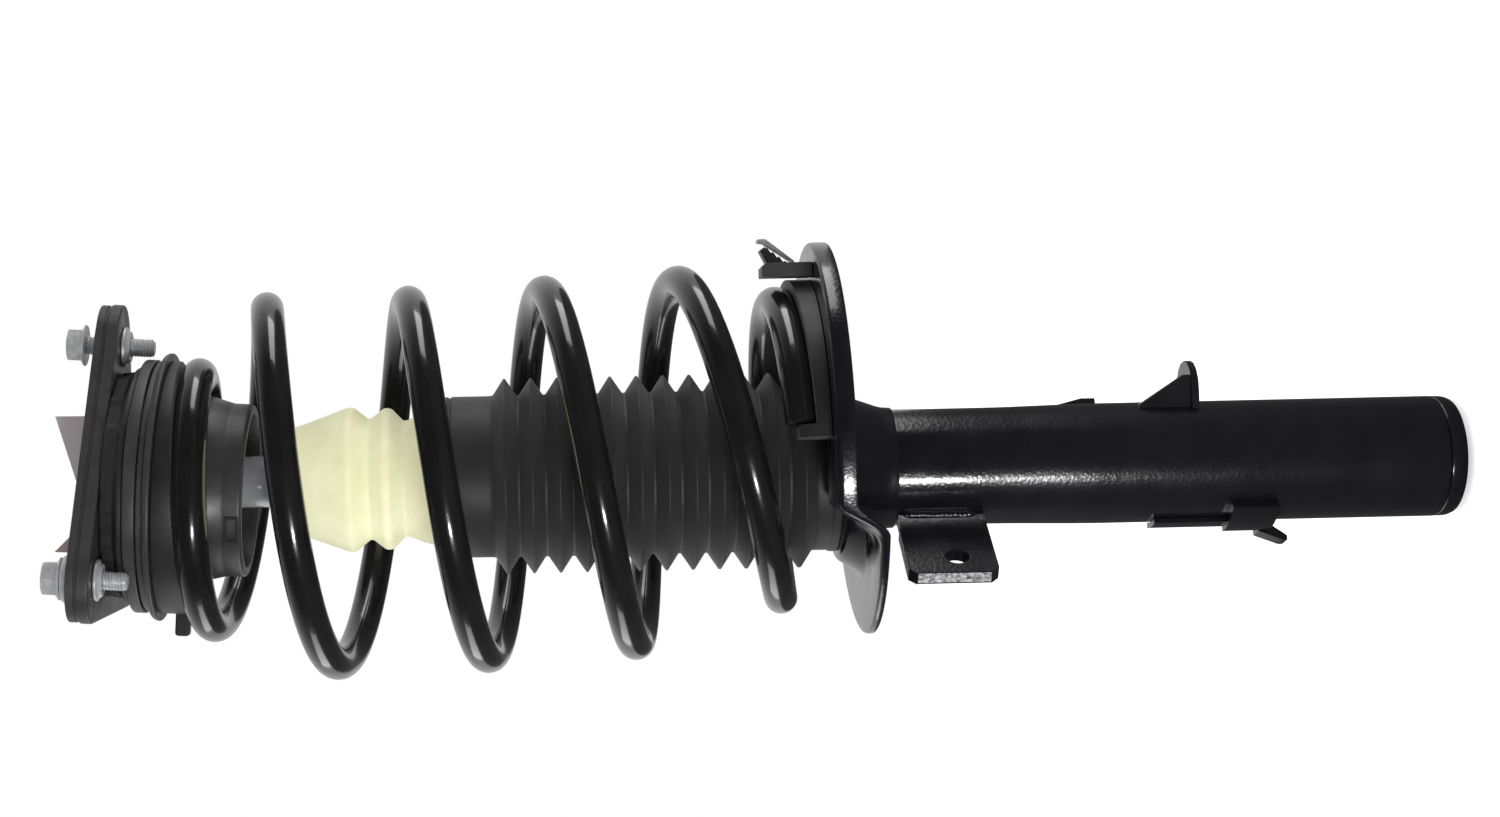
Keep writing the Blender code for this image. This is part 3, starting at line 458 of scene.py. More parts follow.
def add_bevel(item: bpy.types.Object, edge: float, angle: float = 40.0) -> None:
    """Round an item's sharp edges.

    Args:
        item: the object.
        edge: the bevel's width in millimetres.
        angle: only edges over this angle, in degrees.
    """
    bevel = item.modifiers.new("Rounded edges", 'BEVEL')
    bevel.width = edge * MM
    bevel.segments = 3
    bevel.limit_method = 'ANGLE'
    bevel.angle_limit = math.radians(angle)
    bevel.use_clamp_overlap = True
    bevel.harden_normals = True


def hole(x: float, y: float, radius: float, steps: int = 32) -> Profile:
    """Return the outline of a round hole."""
    return [(x + point.x, y + point.y) for point in circle(radius, 0.0, steps)]


def mount_place(x: float = 0.0, y: float = 0.0) -> Matrix:
    """Find the top mount's leaning frame, moved in its own plane.

    Args:
        x: how far along the mount's X, in millimetres.
        y: how far along its Y, in millimetres.

    Returns:
        The matrix, in metres.
    """
    return (Matrix.Translation((0.0, 0.0, MountFrame.height * MM))
            @ Matrix.Rotation(math.radians(MountFrame.lean), 4, 'Y')
            @ Matrix.Translation((x * MM, y * MM, 0.0)))


def smooth_step(value: float, start: float, end: float) -> float:
    """Rise smoothly from 0 at start to 1 at end."""
    share = min(max((value - start) / (end - start), 0.0), 1.0)
    return share * share * (3.0 - 2.0 * share)


def dress(item: bpy.types.Object, finish: Finish, body: Body, slot: str,
          *nodes: str) -> bpy.types.Object:
    """Give a piece its finish and its body, and hide the CAD nodes that it stands for.

    Args:
        item: the piece.
        finish: its finish.
        body: the body it rides on.
        slot: the record's material slot; not used.
        nodes: the CAD nodes that it replaces.

    Returns:
        The piece.
    """
    item.data.materials.append(finish.material())
    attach(item, body.value)
    if nodes:
        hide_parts(*nodes)
    LOG.info("%s: %d faces, %s", item.name, len(item.data.polygons), finish.name)
    return item


def dress_node(node: str, finish: Finish, edge: float = 0.0) -> None:
    """Give a CAD node that stays its finish, and rounded edges if a width is given.

    Args:
        node: the node's name.
        finish: its finish.
        edge: the width of the rounding in millimetres.
    """
    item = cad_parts[node]
    if not item.material_slots:
        item.data.materials.append(finish.material())
    for place in item.material_slots:
        place.material = finish.material()
    if edge:
        add_bevel(item, edge, 50.0)
    LOG.info("%s: kept, %s", node, finish.name)


# --------------------------------------------------------------------------- sub-assemblies


@dataclass(frozen=True)
class MountFrame:
    """The top mount's frame: its centre on the damper's axis and its lean in degrees."""

    height: float = 570.0
    lean: float = 3.8


@dataclass
class Tube:
    """The reserve tube with its pressed base cap."""

    radius: float = 25.7
    neck_radius: float = 24.9
    wall: float = 2.5
    top: float = 300.0
    taper_low: float = 150.0
    taper_high: float = 200.0
    taper_steps: int = 10
    cap_height: float = 8.0
    cap_spigot: float = 6.0
    dish_radius: float = 16.0
    dish_depth: float = 0.6

    def build(self) -> None:
        """Build and dress the tube and its cap."""
        low = self.cap_height + GAP
        bore = self.radius - self.wall
        neck_bore = self.neck_radius - self.wall
        taper = [(self.radius + (self.neck_radius - self.radius) * smooth_step(step, 0, self.taper_steps),
                  self.taper_low + (self.taper_high - self.taper_low) * step / self.taper_steps)
                 for step in range(self.taper_steps + 1)]
        outside = [(self.radius, low)] + taper + [(self.neck_radius, self.top)]
        inside = [(neck_bore, self.top), (neck_bore, self.taper_high), (bore, self.taper_low), (bore, low)]
        dress(turned("tube_skin", outside + inside, 0.5), TUBE_ENAMEL, Body.DAMPER, "black_paint",
              "reserve_tube")
        rim = self.radius - 0.1
        cap = [(0.5, self.dish_depth), (self.dish_radius, self.dish_depth), (self.dish_radius + 2.0, 0.0),
               (rim - 3.6, 0.0), (rim - 1.2, 0.9), (rim - 0.2, 3.2), (rim, 5.0), (rim, self.cap_height),
               (bore - GAP, self.cap_height), (bore - GAP, self.cap_height + self.cap_spigot)]
        dress(turned("base_cap_skin", cap, 0.8, solid=True), TUBE_ENAMEL, Body.DAMPER, "black_paint",
              "base_cap")


@dataclass
class SpringPan:
    """The stamped pan: collar, hub, raised half with a turned skirt, and low half."""

    radius: float = 83.8
    offset: float = 13.3
    thickness: float = 2.5
    low: float = 254.5
    high: float = 272.0
    slope: float = 0.02
    step_start: float = -26.0
    step_end: float = -12.0
    skirt: float = 8.0
    low_edge: float = 3.5
    hub_top: float = 264.0
    hub_radius: float = 38.5
    floor_radius: float = 45.0
    collar_bottom: float = 239.5
    bore: float = 25.2
    fold: float = 2.2
    steps: int = 288
    dimple_angle: float = 0.12
    dimple_height: float = 249.0
    dimple_reach: float = 8.5
    dimple_width: float = 5.2
    dimple_depth: float = 1.6

    def raised(self, x: float) -> float:
        """Return 0 on the low half and 1 on the raised half."""
        return smooth_step(x, self.step_start, self.step_end)

    def floor(self, x: float) -> float:
        """Return the height of the floor at a place across X."""
        return self.low + (self.high - self.low) * self.raised(x) + self.slope * x

    def section(self, angle: float) -> Ring:
        """Return the rounded cross-section at an angle round the tube.

        Args:
            angle: in radians from +X.

        Returns:
            The section's points.
        """
        across = polar(1.0, angle)
        rim = self.offset * across.x + math.sqrt(self.radius ** 2 - (self.offset * across.y) ** 2)
        rim_floor = self.floor(rim * across.x)
        share = self.raised(rim * across.x)
        inner_floor = self.floor(self.floor_radius * across.x)
        inner_share = self.raised(self.floor_radius * across.x)
        skirt = self.low_edge + (self.skirt - self.low_edge) * share
        mid_radius = (self.floor_radius + rim) / 2.0
        mid_floor = self.floor(mid_radius * across.x)
        under = self.hub_top - self.thickness
        profile = [
            (self.bore, self.collar_bottom), (self.bore + 0.5, self.collar_bottom),
            (self.bore + 0.9, self.collar_bottom + 5.0), (self.bore + 4.0, self.collar_bottom + 13.5),
            (self.bore + 6.5, under), (self.hub_radius - 2.0 + 3.5 * inner_share, under),
            (self.floor_radius - 2.0 + 4.0 * inner_share, inner_floor - self.thickness),
            (mid_radius, mid_floor - self.thickness),
            (rim - self.thickness, rim_floor - self.thickness), (rim - self.thickness, rim_floor - skirt),
            (rim, rim_floor - skirt), (rim, rim_floor), (mid_radius, mid_floor),
            (self.floor_radius, inner_floor), (self.hub_radius, self.hub_top), (self.bore, self.hub_top),
        ]
        return [across * (reach - self.dimple(angle, reach, height)) + Vector((0.0, 0.0, height))
                for reach, height in rounded(profile, self.fold)]

    def dimple(self, angle: float, reach: float, height: float) -> float:
        """Press the dimple into the collar's +X side, and leave its bore and the rest alone.

        Args:
            angle: in radians from +X.
            reach: the distance from the axis.
            height: the height on the axis.

        Returns:
            The dimple's depth at that place.
        """
        if reach > self.bore + 8.0 or reach < self.bore + 0.4:
            return 0.0
        turn = math.atan2(math.sin(angle - self.dimple_angle), math.cos(angle - self.dimple_angle))
        distance = math.hypot(turn * reach / self.dimple_width,
                              (height - self.dimple_height) / self.dimple_reach)
        return self.dimple_depth * (1.0 - smooth_step(distance, 0.6, 1.0))

    def build(self) -> None:
        """Build and dress the pan."""
        sections = [self.section(2.0 * math.pi * index / self.steps) for index in range(self.steps)]
        dress(skin("spring_pan_skin", sections), TUBE_ENAMEL, Body.DAMPER, "black_paint", "spring_pan")


@dataclass
class CoilSpring:
    """The side-loaded coil spring, by stations along its turns."""

    wire: float = 7.0
    start_angle: float = -79.0
    steps_per_turn: int = 72
    sides: int = 28
    end_radius: float = 0.9
    # turn, height on the axis, lean of the turn's plane, coil radius, offset of its centre in X
    stations: tuple[tuple[float, ...], ...] = (
        (0.00, 283.0, 0.030, 62.0, 9.0),
        (0.22, 285.2, 0.040, 62.5, 9.2),
        (0.72, 290.7, 0.055, 65.5, 11.5),
        (1.22, 324.6, 0.060, 75.0, 6.6),
        (1.72, 353.0, 0.050, 76.5, 4.0),
        (2.72, 414.5, 0.030, 76.7, 0.0),
        (3.72, 474.6, -0.020, 76.5, -1.8),
        (4.22, 507.4, -0.030, 74.6, -0.7),
        (4.72, 526.2, -0.062, 57.0, -4.3),
        (5.22, 537.6, -0.068, 49.5, -3.0),
        (5.60, 538.4, -0.070, 49.0, -2.7),
    )

    @property
    def last_turn(self) -> float:
        """Return the turn at which the wire ends."""
        return self.stations[-1][0]

    def values(self, turn: float) -> list[float]:
        """Interpolate the stations with smooth slopes.

        Args:
            turn: counted from the lower tip.

        Returns:
            Height, lean, radius and offset.
        """
        index = 0
        while index < len(self.stations) - 2 and turn > self.stations[index + 1][0]:
            index += 1
        start, end = self.stations[index], self.stations[index + 1]
        span = end[0] - start[0]
        share = (turn - start[0]) / span
        found = []
        for column in range(1, 5):
            slopes = []
            for station in (index, index + 1):
                before = self.stations[max(station - 1, 0)]
                after = self.stations[min(station + 1, len(self.stations) - 1)]
                slopes.append((after[column] - before[column]) / (after[0] - before[0]))
            square, cube = share * share, share ** 3
            found.append((2 * cube - 3 * square + 1) * start[column]
                         + (cube - 2 * square + share) * span * slopes[0]
                         + (3 * square - 2 * cube) * end[column] + (cube - square) * span * slopes[1])
        return found

    def heading(self, turn: float) -> float:
        """Return the angle of a turn about the axis, in radians."""
        return math.radians(self.start_angle + 360.0 * turn)

    def point(self, turn: float) -> Vector:
        """Return the centre of the wire.

        Args:
            turn: counted from the lower tip.

        Returns:
            The point, in millimetres.
        """
        height, lean, radius, offset = self.values(turn)
        angle = self.heading(turn)
        x = offset + radius * math.cos(angle)
        return Vector((x, radius * math.sin(angle), height + lean * x))

    def section(self, turn: float, radius: float, shift: float = 0.0) -> Ring:
        """Return a ring of the wire.

        Args:
            turn: where along the coil.
            radius: the ring's radius.
            shift: how far the ring moves along the wire, in millimetres.

        Returns:
            The ring's points.
        """
        along = (self.point(turn + 0.001) - self.point(turn - 0.001)).normalized()
        side = along.cross(Vector((0.0, 0.0, 1.0))).normalized()
        upward = side.cross(along)
        centre = self.point(turn) + along * shift
        ring = []
        for corner in range(self.sides):
            angle = 2.0 * math.pi * corner / self.sides
            ring.append(centre + (side * math.cos(angle) + upward * math.sin(angle)) * radius)
        return ring

    def build(self) -> None:
        """Build the coil with slightly rounded ends, on a mesh of its own."""
        count = round(self.last_turn * self.steps_per_turn)
        rings = [self.section(0.0, self.wire - self.end_radius, -self.end_radius)]
        rings += [self.section(self.last_turn * index / count, self.wire) for index in range(count + 1)]
        rings.append(self.section(self.last_turn, self.wire - self.end_radius, self.end_radius))
        coil = dress(skin("coil_spring_skin", rings, wrap=False), SPRING_COAT, Body.DAMPER,
                     "spring_coating", "coil_spring")
        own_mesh(coil)


@dataclass
class LowerIsolator:
    """The rubber trough under the spring's first half turn, with a stop beyond the tip."""

    pan: SpringPan
    spring: CoilSpring
    groove: float = 7.7
    wall: float = 2.0
    outer_height: float = -5.2
    inner_height: float = 1.0
    stop_height: float = 2.0
    stop_length: float = 5.0
    stop_face: float = -0.004
    end_turn: float = 0.5
    steps: int = 60
    groove_degrees: tuple[int, int, int] = (-42, -171, -16)
    edge: float = 0.7

    def section(self, turn: float, grooved: bool) -> Ring:
        """Return one cross-section of the trough.

        Args:
            turn: where along the coil.
            grooved: with the wire's groove; otherwise with the flat top of the stop.

        Returns:
            The section's points.
        """
        centre = self.spring.point(turn)
        outwards = polar(1.0, self.spring.heading(turn))
        side = self.groove + self.wall
        base = self.pan.floor(centre.x + outwards.x * side) + GAP - centre.z
        profile = [(side, base), (side, self.outer_height)]
        for degrees in range(*self.groove_degrees):
            across = self.groove * math.cos(math.radians(degrees))
            depth = self.groove * math.sin(math.radians(degrees)) if grooved else self.stop_height
            profile.append((across, depth))
        profile += [(-self.groove, self.inner_height), (-side, self.inner_height), (-side, base)]
        return [centre + outwards * across + Vector((0.0, 0.0, height)) for across, height in profile]

    def build(self) -> None:
        """Build and dress the trough."""
        stop = self.stop_length / (2.0 * math.pi * self.spring.stations[0][3])
        face = self.stop_face
        sections = [self.section(face - stop, False), self.section(face - 0.001, False)]
        for index in range(self.steps + 1):
            sections.append(self.section(face + (self.end_turn - face) * index / self.steps, True))
        item = skin("lower_isolator_skin", sections, wrap=False)
        add_bevel(item, self.edge)
        dress(item, SEAT_RUBBER, Body.DAMPER, "black_rubber", "lower_isolator")


@dataclass
class Boot:
    """The pleated dust boot: plain foot, sharp crests, smooth collar."""

    radius: float = 34.5
    crest_radius: float = 41.8
    crests: int = 12
    foot: float = 264.3
    foot_height: float = 10.0
    collar_bottom: float = 410.0
    collar_top: float = 431.0
    wall: float = 1.6
    bead: float = 0.6
    root_half: float = 0.6
    crest_half: float = 0.35
    snap_radius: float = 27.6
    snap_height: float = 3.6

    def build(self) -> None:
        """Build the boot on a mesh of its own."""
        start = self.foot + self.foot_height
        pitch = (self.collar_bottom - start) / self.crests
        root_radius = self.radius + 0.2
        snap_low = self.collar_top - self.snap_height
        outside = [(self.radius + self.bead, self.foot), (self.radius + self.bead, self.foot + 3.0),
                   (self.radius, self.foot + 4.0), (self.radius, start - self.root_half)]
        for crest in range(self.crests):
            low = start + pitch * crest
            middle = low + pitch / 2.0
            outside += [(root_radius, low + self.root_half),
                        (self.crest_radius, middle - self.crest_half),
                        (self.crest_radius, middle + self.crest_half),
                        (root_radius, low + pitch - self.root_half)]
        outside += [(self.radius, self.collar_bottom + 1.0), (self.radius, self.collar_top - 4.2),
                    (self.radius - self.bead, snap_low), (self.radius - self.bead, self.collar_top - 3.0),
                    (self.radius, self.collar_top - 2.4)]
        # The inner wall leaves out the collar's groove, the last four points.
        inside = [(reach - self.wall, height) for reach, height in reversed(outside[:-4])]
        profile = outside + [
            (self.radius - 0.2, self.collar_top), (self.snap_radius + 3.0, self.collar_top),
            (self.snap_radius, self.collar_top - 0.8), (self.snap_radius, snap_low),
            (self.radius - self.wall, snap_low),
        ] + inside
        boot = dress(turned("dust_boot_skin", profile, 0.35, steps=144), BOOT_EPDM, Body.DAMPER,
                     "boot_rubber", "dust_boot")
        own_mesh(boot)


@dataclass
class RodAndBumpStop:
    """The chromed rod with its stud, and the foam bump stop on it."""

    rod_radius: float = 11.0
    end_radius: float = 0.3
    piston_seat_radius: float = 5.0
    piston_seat_height: float = 16.0
    stud_radius: float = 7.0
    shoulder: float = 553.7
    stud_top: float = 581.0
    bump_bore: float = 11.3
    # radius and height of the foam's outside: clipped foot, two lobes and a long nose
    bump_outline: tuple[tuple[float, float], ...] = (
        (29.4, 424.0), (29.4, 426.5), (27.0, 427.0), (27.0, 430.6), (29.0, 431.0), (28.6, 434.0),
        (28.2, 438.0), (24.8, 446.5), (24.9, 448.0), (30.2, 453.0), (30.4, 456.0), (26.0, 461.5),
        (26.0, 463.0), (30.9, 469.0), (30.9, 471.5), (24.2, 490.0), (22.7, 496.0), (21.0, 503.0),
    )
    line_rise: float = 0.25
    line_width: float = 0.8
    line_angle: float = -0.55
    line_least_radius: float = 20.0

    def build(self) -> None:
        """Build and dress the rod's visible pieces."""
        cad_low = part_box("piston_rod")[0]
        low = cad_low[2] / MM
        piston_seat = low + self.piston_seat_height
        rod = [(self.end_radius, low), (self.piston_seat_radius, low),
               (self.piston_seat_radius, piston_seat), (self.rod_radius, piston_seat),
               (self.rod_radius, self.shoulder),
               (self.stud_radius, self.shoulder), (self.stud_radius, self.stud_top),
               (self.end_radius, self.stud_top)]
        dress(turned("rod_skin", rod, 0.5, solid=True, steps=96), HARD_CHROME, Body.ROD, "chrome",
              "piston_rod")
        foot, nose = self.bump_outline[0][1], self.bump_outline[-1][1]
        stop = [(self.bump_bore, foot), *self.bump_outline, (self.bump_bore, nose)]
        dress(turned("bump_stop_skin", stop, 2.0, steps=144, shape=self.mould_line), BUMP_FOAM, Body.ROD,
              "bump_foam", "bump_stop")

    def mould_line(self, angle: float, height: float, reach: float) -> float:
        """Raise the two fine lines that the mould's halves leave up the foam's outside.

        Args:
            angle: in radians from +X.
            height: the height on the axis, which the lines don't depend on.
            reach: the distance from the axis.

        Returns:
            The rise at that place.
        """
        if reach < self.line_least_radius:
            return 0.0
        aside = math.sin(angle - self.line_angle) * reach / self.line_width
        return self.line_rise * math.exp(-aside ** 2)


@dataclass
class UpperSeat:
    """The upper spring seat, its bearing race and the stepped rubber ring over the spring."""

    spring: CoilSpring
    top: float = -18.0
    bottom: float = -56.5
    flange: float = 3.0
    flange_radius: float = 57.3
    nose_radius: float = 37.0
    shoulder_radius: float = 40.2
    bore: float = 33.0
    isolator_radius: float = 54.0
    isolator_bottom: float = -33.0
    race_bore: float = 36.3
    race_radius: float = 53.5
    race_low: float = -17.7
    race_high: float = -15.3
    track: tuple[float, float] = (38.8, 51.4)
    track_floor: float = -16.7
    window_angle: float = -115.0
    window_height: float = -52.4
    tip_degrees: float = 3.0
    steps: int = 180

    def build(self) -> None:
        """Build and dress the seat's pieces."""
        flange_low = self.top - self.flange
        seat = [(self.bore, self.top), (self.bore, self.bottom), (self.nose_radius - 1.0, self.bottom),
                (self.nose_radius, self.bottom + 1.0), (self.nose_radius, self.bottom + 8.5),
                (self.shoulder_radius, -36.0), (self.shoulder_radius, flange_low),
                (self.flange_radius, flange_low), (self.flange_radius, self.top - 1.6),
                (self.flange_radius - 1.0, self.top)]
        dress(turned("upper_seat_skin", seat, 0.8, matrix=mount_place()), FILLED_NYLON, Body.SEAT,
              "black_plastic", "upper_spring_seat")
        track_in, track_out = self.track
        race = [(self.race_bore, self.race_low), (self.race_bore, self.race_high),
                (track_in, self.race_high), (track_in, self.track_floor), (track_out, self.track_floor),
                (track_out, self.race_high), (self.race_radius, self.race_high),
                (self.race_radius, self.race_low)]
        dress(turned("bearing_race_skin", race, 0.3, matrix=mount_place()), FILLED_NYLON, Body.SEAT,
              "black_plastic", "bearing_lower_race")
        dress(self.isolator(), SEAT_RUBBER, Body.SEAT, "black_rubber", "upper_isolator")
        dress_node("bearing_cage", ZINC)
        self.build_window()
        self.build_tab()

    def build_window(self) -> None:
        """Build the raised frame of the snap window in the nose, on the side that faces the hose."""
        frame_outer = rounded(rectangle(6.2, 2.9), 0.8)
        frame_inner = rounded(rectangle(4.9, 1.9), 0.6)
        place = (mount_place() @ Matrix.Rotation(math.radians(self.window_angle), 4, 'Z')
                 @ Matrix.Translation((self.nose_radius * MM, 0.0, self.window_height * MM))
                 @ Matrix.Rotation(math.pi / 2, 4, 'Y') @ Matrix.Rotation(math.pi / 2, 4, 'Z'))
        window = prism("seat_window", frame_outer, -1.2, 0.5, [frame_inner], place, 0.2)
        dress(window, DARK_NYLON, Body.SEAT, "black_plastic")
        pane = prism("seat_window_catch", frame_inner, -1.2, -0.35, (), place, 0.1)
        dress(pane, SEAT_RUBBER, Body.SEAT, "black_plastic")

    def build_tab(self) -> None:
        """Build the pull tab that hangs from the rubber ring's rim."""
        outline = rounded([(-63.4, -33.0), (-52.0, -33.0), (-52.0, -26.8), (-63.4, -26.8)], 1.6)
        tab = prism("isolator_tab", outline, -3.3, 3.3, (), mount_place() @ UPRIGHT, 0.9)
        dress(tab, SEAT_RUBBER, Body.SEAT, "black_rubber")

    def isolator(self) -> bpy.types.Object:
        """Build the ring whose underside climbs with the wire and steps down past its tip.

        Returns:
            The ring.
        """
        lean = math.radians(MountFrame.lean)
        normal = Vector((math.sin(lean), 0.0, math.cos(lean)))
        centre = Vector((0.0, 0.0, MountFrame.height))
        top = self.top - self.flange - GAP
        inner = self.shoulder_radius + GAP
        last = self.spring.last_turn
        # The last section stands half a degree short of the first, which makes the step.
        passed = [self.tip_degrees + 360.0 * index / self.steps for index in range(self.steps)]
        passed.append(self.tip_degrees + 359.5)
        sections = []
        for degrees in passed:
            turn = last - 1.0 + degrees / 360.0
            wire_centre = (self.spring.point(min(turn, last)) - centre).dot(normal)
            low = max(wire_centre + self.spring.wire + 2.0 * GAP, self.isolator_bottom)
            across = polar(1.0, self.spring.heading(turn))
            profile = [(inner, top), (self.isolator_radius, top), (self.isolator_radius, low), (inner, low)]
            sections.append([across * reach + Vector((0.0, 0.0, height))
                             for reach, height in rounded(profile, 0.7, 3)])
        return skin("upper_isolator_skin", sections, matrix=mount_place())


@dataclass
class TopMount:
    """The bolted top mount: plate, hub, bearing shell, bolts and blank labels."""

    plate_low: float = 1.0
    plate_thickness: float = 9.5
    lobe_radius: float = 18.0
    bolt_circle: float = 59.0
    bolt_angles: tuple[float, ...] = (0.0, 130.0, 230.0)
    washer_thickness: tuple[float, ...] = (1.5, 3.5, 3.5)
    bolt_lift: tuple[float, ...] = (4.4, 0.3, 0.3)
    plate_bore: float = 24.3
    bolt_hole: float = 4.6
    bolt_below: float = 13.5
    groove_low: float = 5.2
    groove_high: float = 6.2
    hub_radius: float = 47.5
    hub_bore: float = 22.0
    hub_low: float = -9.0
    hub_floor: float = -7.3
    rib_count: int = 18
    rib_height: float = 1.1
    shell_bore: float = 36.0
    shell_radius: float = 54.2
    shell_low: float = -14.7
    shell_high: float = -9.3
    track: tuple[float, float] = (38.8, 51.4)
    track_roof: float = -12.5
    ring_bore: float = 4.3
    washer_radius: float = 10.5
    washer_edge: float = 1.2
    retainer_radius: float = 8.6
    card: float = 0.5
    tag_y: float = 8.5
    label_y: float = -38.0

    def places(self) -> list[Vector]:
        """Return the bolt centres in the mount's plane."""
        return [polar(self.bolt_circle, math.radians(angle)) for angle in self.bolt_angles]

    def plate_outline(self, inset: float = 0.0, steps: int = 24) -> Profile:
        """Return the hull of the three lobes.

        Args:
            inset: how far the outline lies inside the plate's edge.
            steps: points round each lobe.

        Returns:
            The outline.
        """
        radius = self.lobe_radius - inset
        centres = self.places()
        outline: Profile = []
        for index, centre in enumerate(centres):
            before = centre - centres[index - 1]
            after = centres[(index + 1) % len(centres)] - centre
            start = math.atan2(-before.x, before.y)
            sweep = (math.atan2(-after.x, after.y) - start) % (2.0 * math.pi)
            for step in range(steps + 1):
                angle = start + sweep * step / steps
                outline.append((centre.x + radius * math.cos(angle), centre.y + radius * math.sin(angle)))
        return outline

    def build(self) -> None:
        """Build and dress the mount's pieces."""
        top = self.plate_low + self.plate_thickness
        self.build_plate(top)
        self.build_hub()
        self.build_shell()
        for index, place in enumerate(self.places()):
            self.build_bolt(index, place, top)
        self.build_labels(top)

    def build_plate(self, top: float) -> None:
        """Build the plate, whose edge has a moulded groove, as a rim, an inset waist and a face.

        Args:
            top: the height of the plate's face.
        """
        holes = [hole(0.0, 0.0, self.plate_bore, 96)]
        holes += [hole(place.x, place.y, self.bolt_hole) for place in self.places()]
        waist_low, waist_high = self.plate_low + self.groove_low, self.plate_low + self.groove_high
        layers = (("mount_plate_skin", 0.0, self.plate_low, waist_low, 1.2),
                  ("mount_plate_waist", 0.9, waist_low, waist_high, 0.1),
                  ("mount_plate_face", 0.4, waist_high, top, 0.9))
        for name, inset, low, high, edge in layers:
            layer = prism(name, self.plate_outline(inset), low, high, holes, mount_place(), edge)
            nodes = ("mount_plate",) if name == "mount_plate_skin" else ()
            dress(layer, FILLED_NYLON, Body.MOUNT, "black_plastic", *nodes)

    def build_hub(self) -> None:
        """Build the ribbed hub under the plate."""
        high = self.plate_low - GAP
        foot = self.hub_radius + 3.0
        hub = [(self.hub_bore, self.hub_low), (foot, self.hub_low), (foot, self.hub_low + 2.4),
               (self.hub_radius, self.hub_low + 4.0), (self.hub_radius - 0.8, high),
               (self.plate_bore - GAP, high), (self.plate_bore - GAP, self.hub_floor),
               (self.hub_bore, self.hub_floor)]
        dress(turned("mount_hub_skin", hub, 0.8, matrix=mount_place(), steps=192, shape=self.ribs),
              DARK_NYLON, Body.MOUNT, "black_plastic", "mount_housing")

    def build_shell(self) -> None:
        """Build the bearing's upper shell with the track for its balls."""
        track_in, track_out = self.track
        shell = [(self.shell_bore, self.shell_high), (self.shell_bore, self.shell_low),
                 (track_in, self.shell_low), (track_in, self.track_roof), (track_out, self.track_roof),
                 (track_out, self.shell_low), (self.shell_radius, self.shell_low),
                 (self.shell_radius, self.shell_high - 0.7), (self.shell_radius - 1.2, self.shell_high)]
        dress(turned("bearing_shell_skin", shell, 0.5, matrix=mount_place()), FILLED_NYLON, Body.MOUNT,
              "black_plastic", "bearing_upper_shell")

    def ribs(self, angle: float, height: float, reach: float) -> float:
        """Raise the ribs moulded round the hub's outside.

        Args:
            angle: in radians about the mount's axis.
            height: the height in the mount's frame.
            reach: the distance from the mount's axis.

        Returns:
            How far the ribs stand out at that place.
        """
        if reach < self.hub_radius - 3.0 or height < self.hub_low + 3.0:
            return 0.0
        return self.rib_height * smooth_step(math.cos(self.rib_count * angle), 0.55, 0.85)

    def build_bolt(self, index: int, place: Vector, top: float) -> None:
        """Build one bolt with its washer and the retainer under the plate.

        Args:
            index: which bolt.
            place: its centre in the mount's plane.
            top: the height of the plate's face.
        """
        number = index + 1
        matrix = mount_place(place.x, place.y)
        washer_low = top + GAP
        washer_top = washer_low + self.washer_thickness[index]
        bolt = FlangeBolt(low=self.plate_low - self.bolt_below, head_low=washer_top + self.bolt_lift[index])
        dress(bolt.mesh(f"mount_bolt_skin_{number}", matrix), ZINC, Body.MOUNT, "zinc_steel",
              f"mount_bolt_{number}")
        washer = [(self.ring_bore, washer_low), (self.washer_radius, washer_low),
                  (self.washer_radius, washer_low + self.washer_edge),
                  (self.washer_radius - 1.5, washer_top), (self.ring_bore, washer_top)]
        dress(turned(f"bolt_washer_skin_{number}", washer, 0.3, matrix=matrix, steps=64), ZINC, Body.MOUNT,
              "zinc_steel", f"bolt_washer_{number}")
        high = self.plate_low - GAP
        clip = [(self.ring_bore, high - 3.2), (6.4, high - 3.2), (7.4, high - 1.8),
                (self.retainer_radius, high - 1.2), (self.retainer_radius, high), (self.ring_bore, high)]
        dress(turned(f"bolt_retainer_skin_{number}", clip, 0.3, matrix=matrix, steps=64), ZINC, Body.MOUNT,
              "zinc_steel", f"bolt_retainer_{number}")

    def build_labels(self, top: float) -> None:
        """Build the two blank pieces of card that stand on the plate.

        Args:
            top: the height of the plate's face.
        """
        foot = top + GAP
        corners = [(29.0, foot), (-22.0, foot), (-13.5, top + 4.5), (28.0, top + 20.0)]
        tag = prism("blank_tag_skin", corners, 0.0, self.card,
                    matrix=mount_place(0.0, self.tag_y) @ UPRIGHT, edge=0.1)
        dress(tag, CARD, Body.MOUNT, "grey_card", "blank_tag")
        corners = [(-18.0, foot), (-27.5, foot), (-27.5, top + 9.0)]
        label = prism("blank_label_skin", corners, 0.0, self.card,
                      matrix=mount_place(0.0, self.label_y) @ UPRIGHT, edge=0.1)
        dress(label, CARD_BACK, Body.MOUNT, "grey_card", "blank_label")


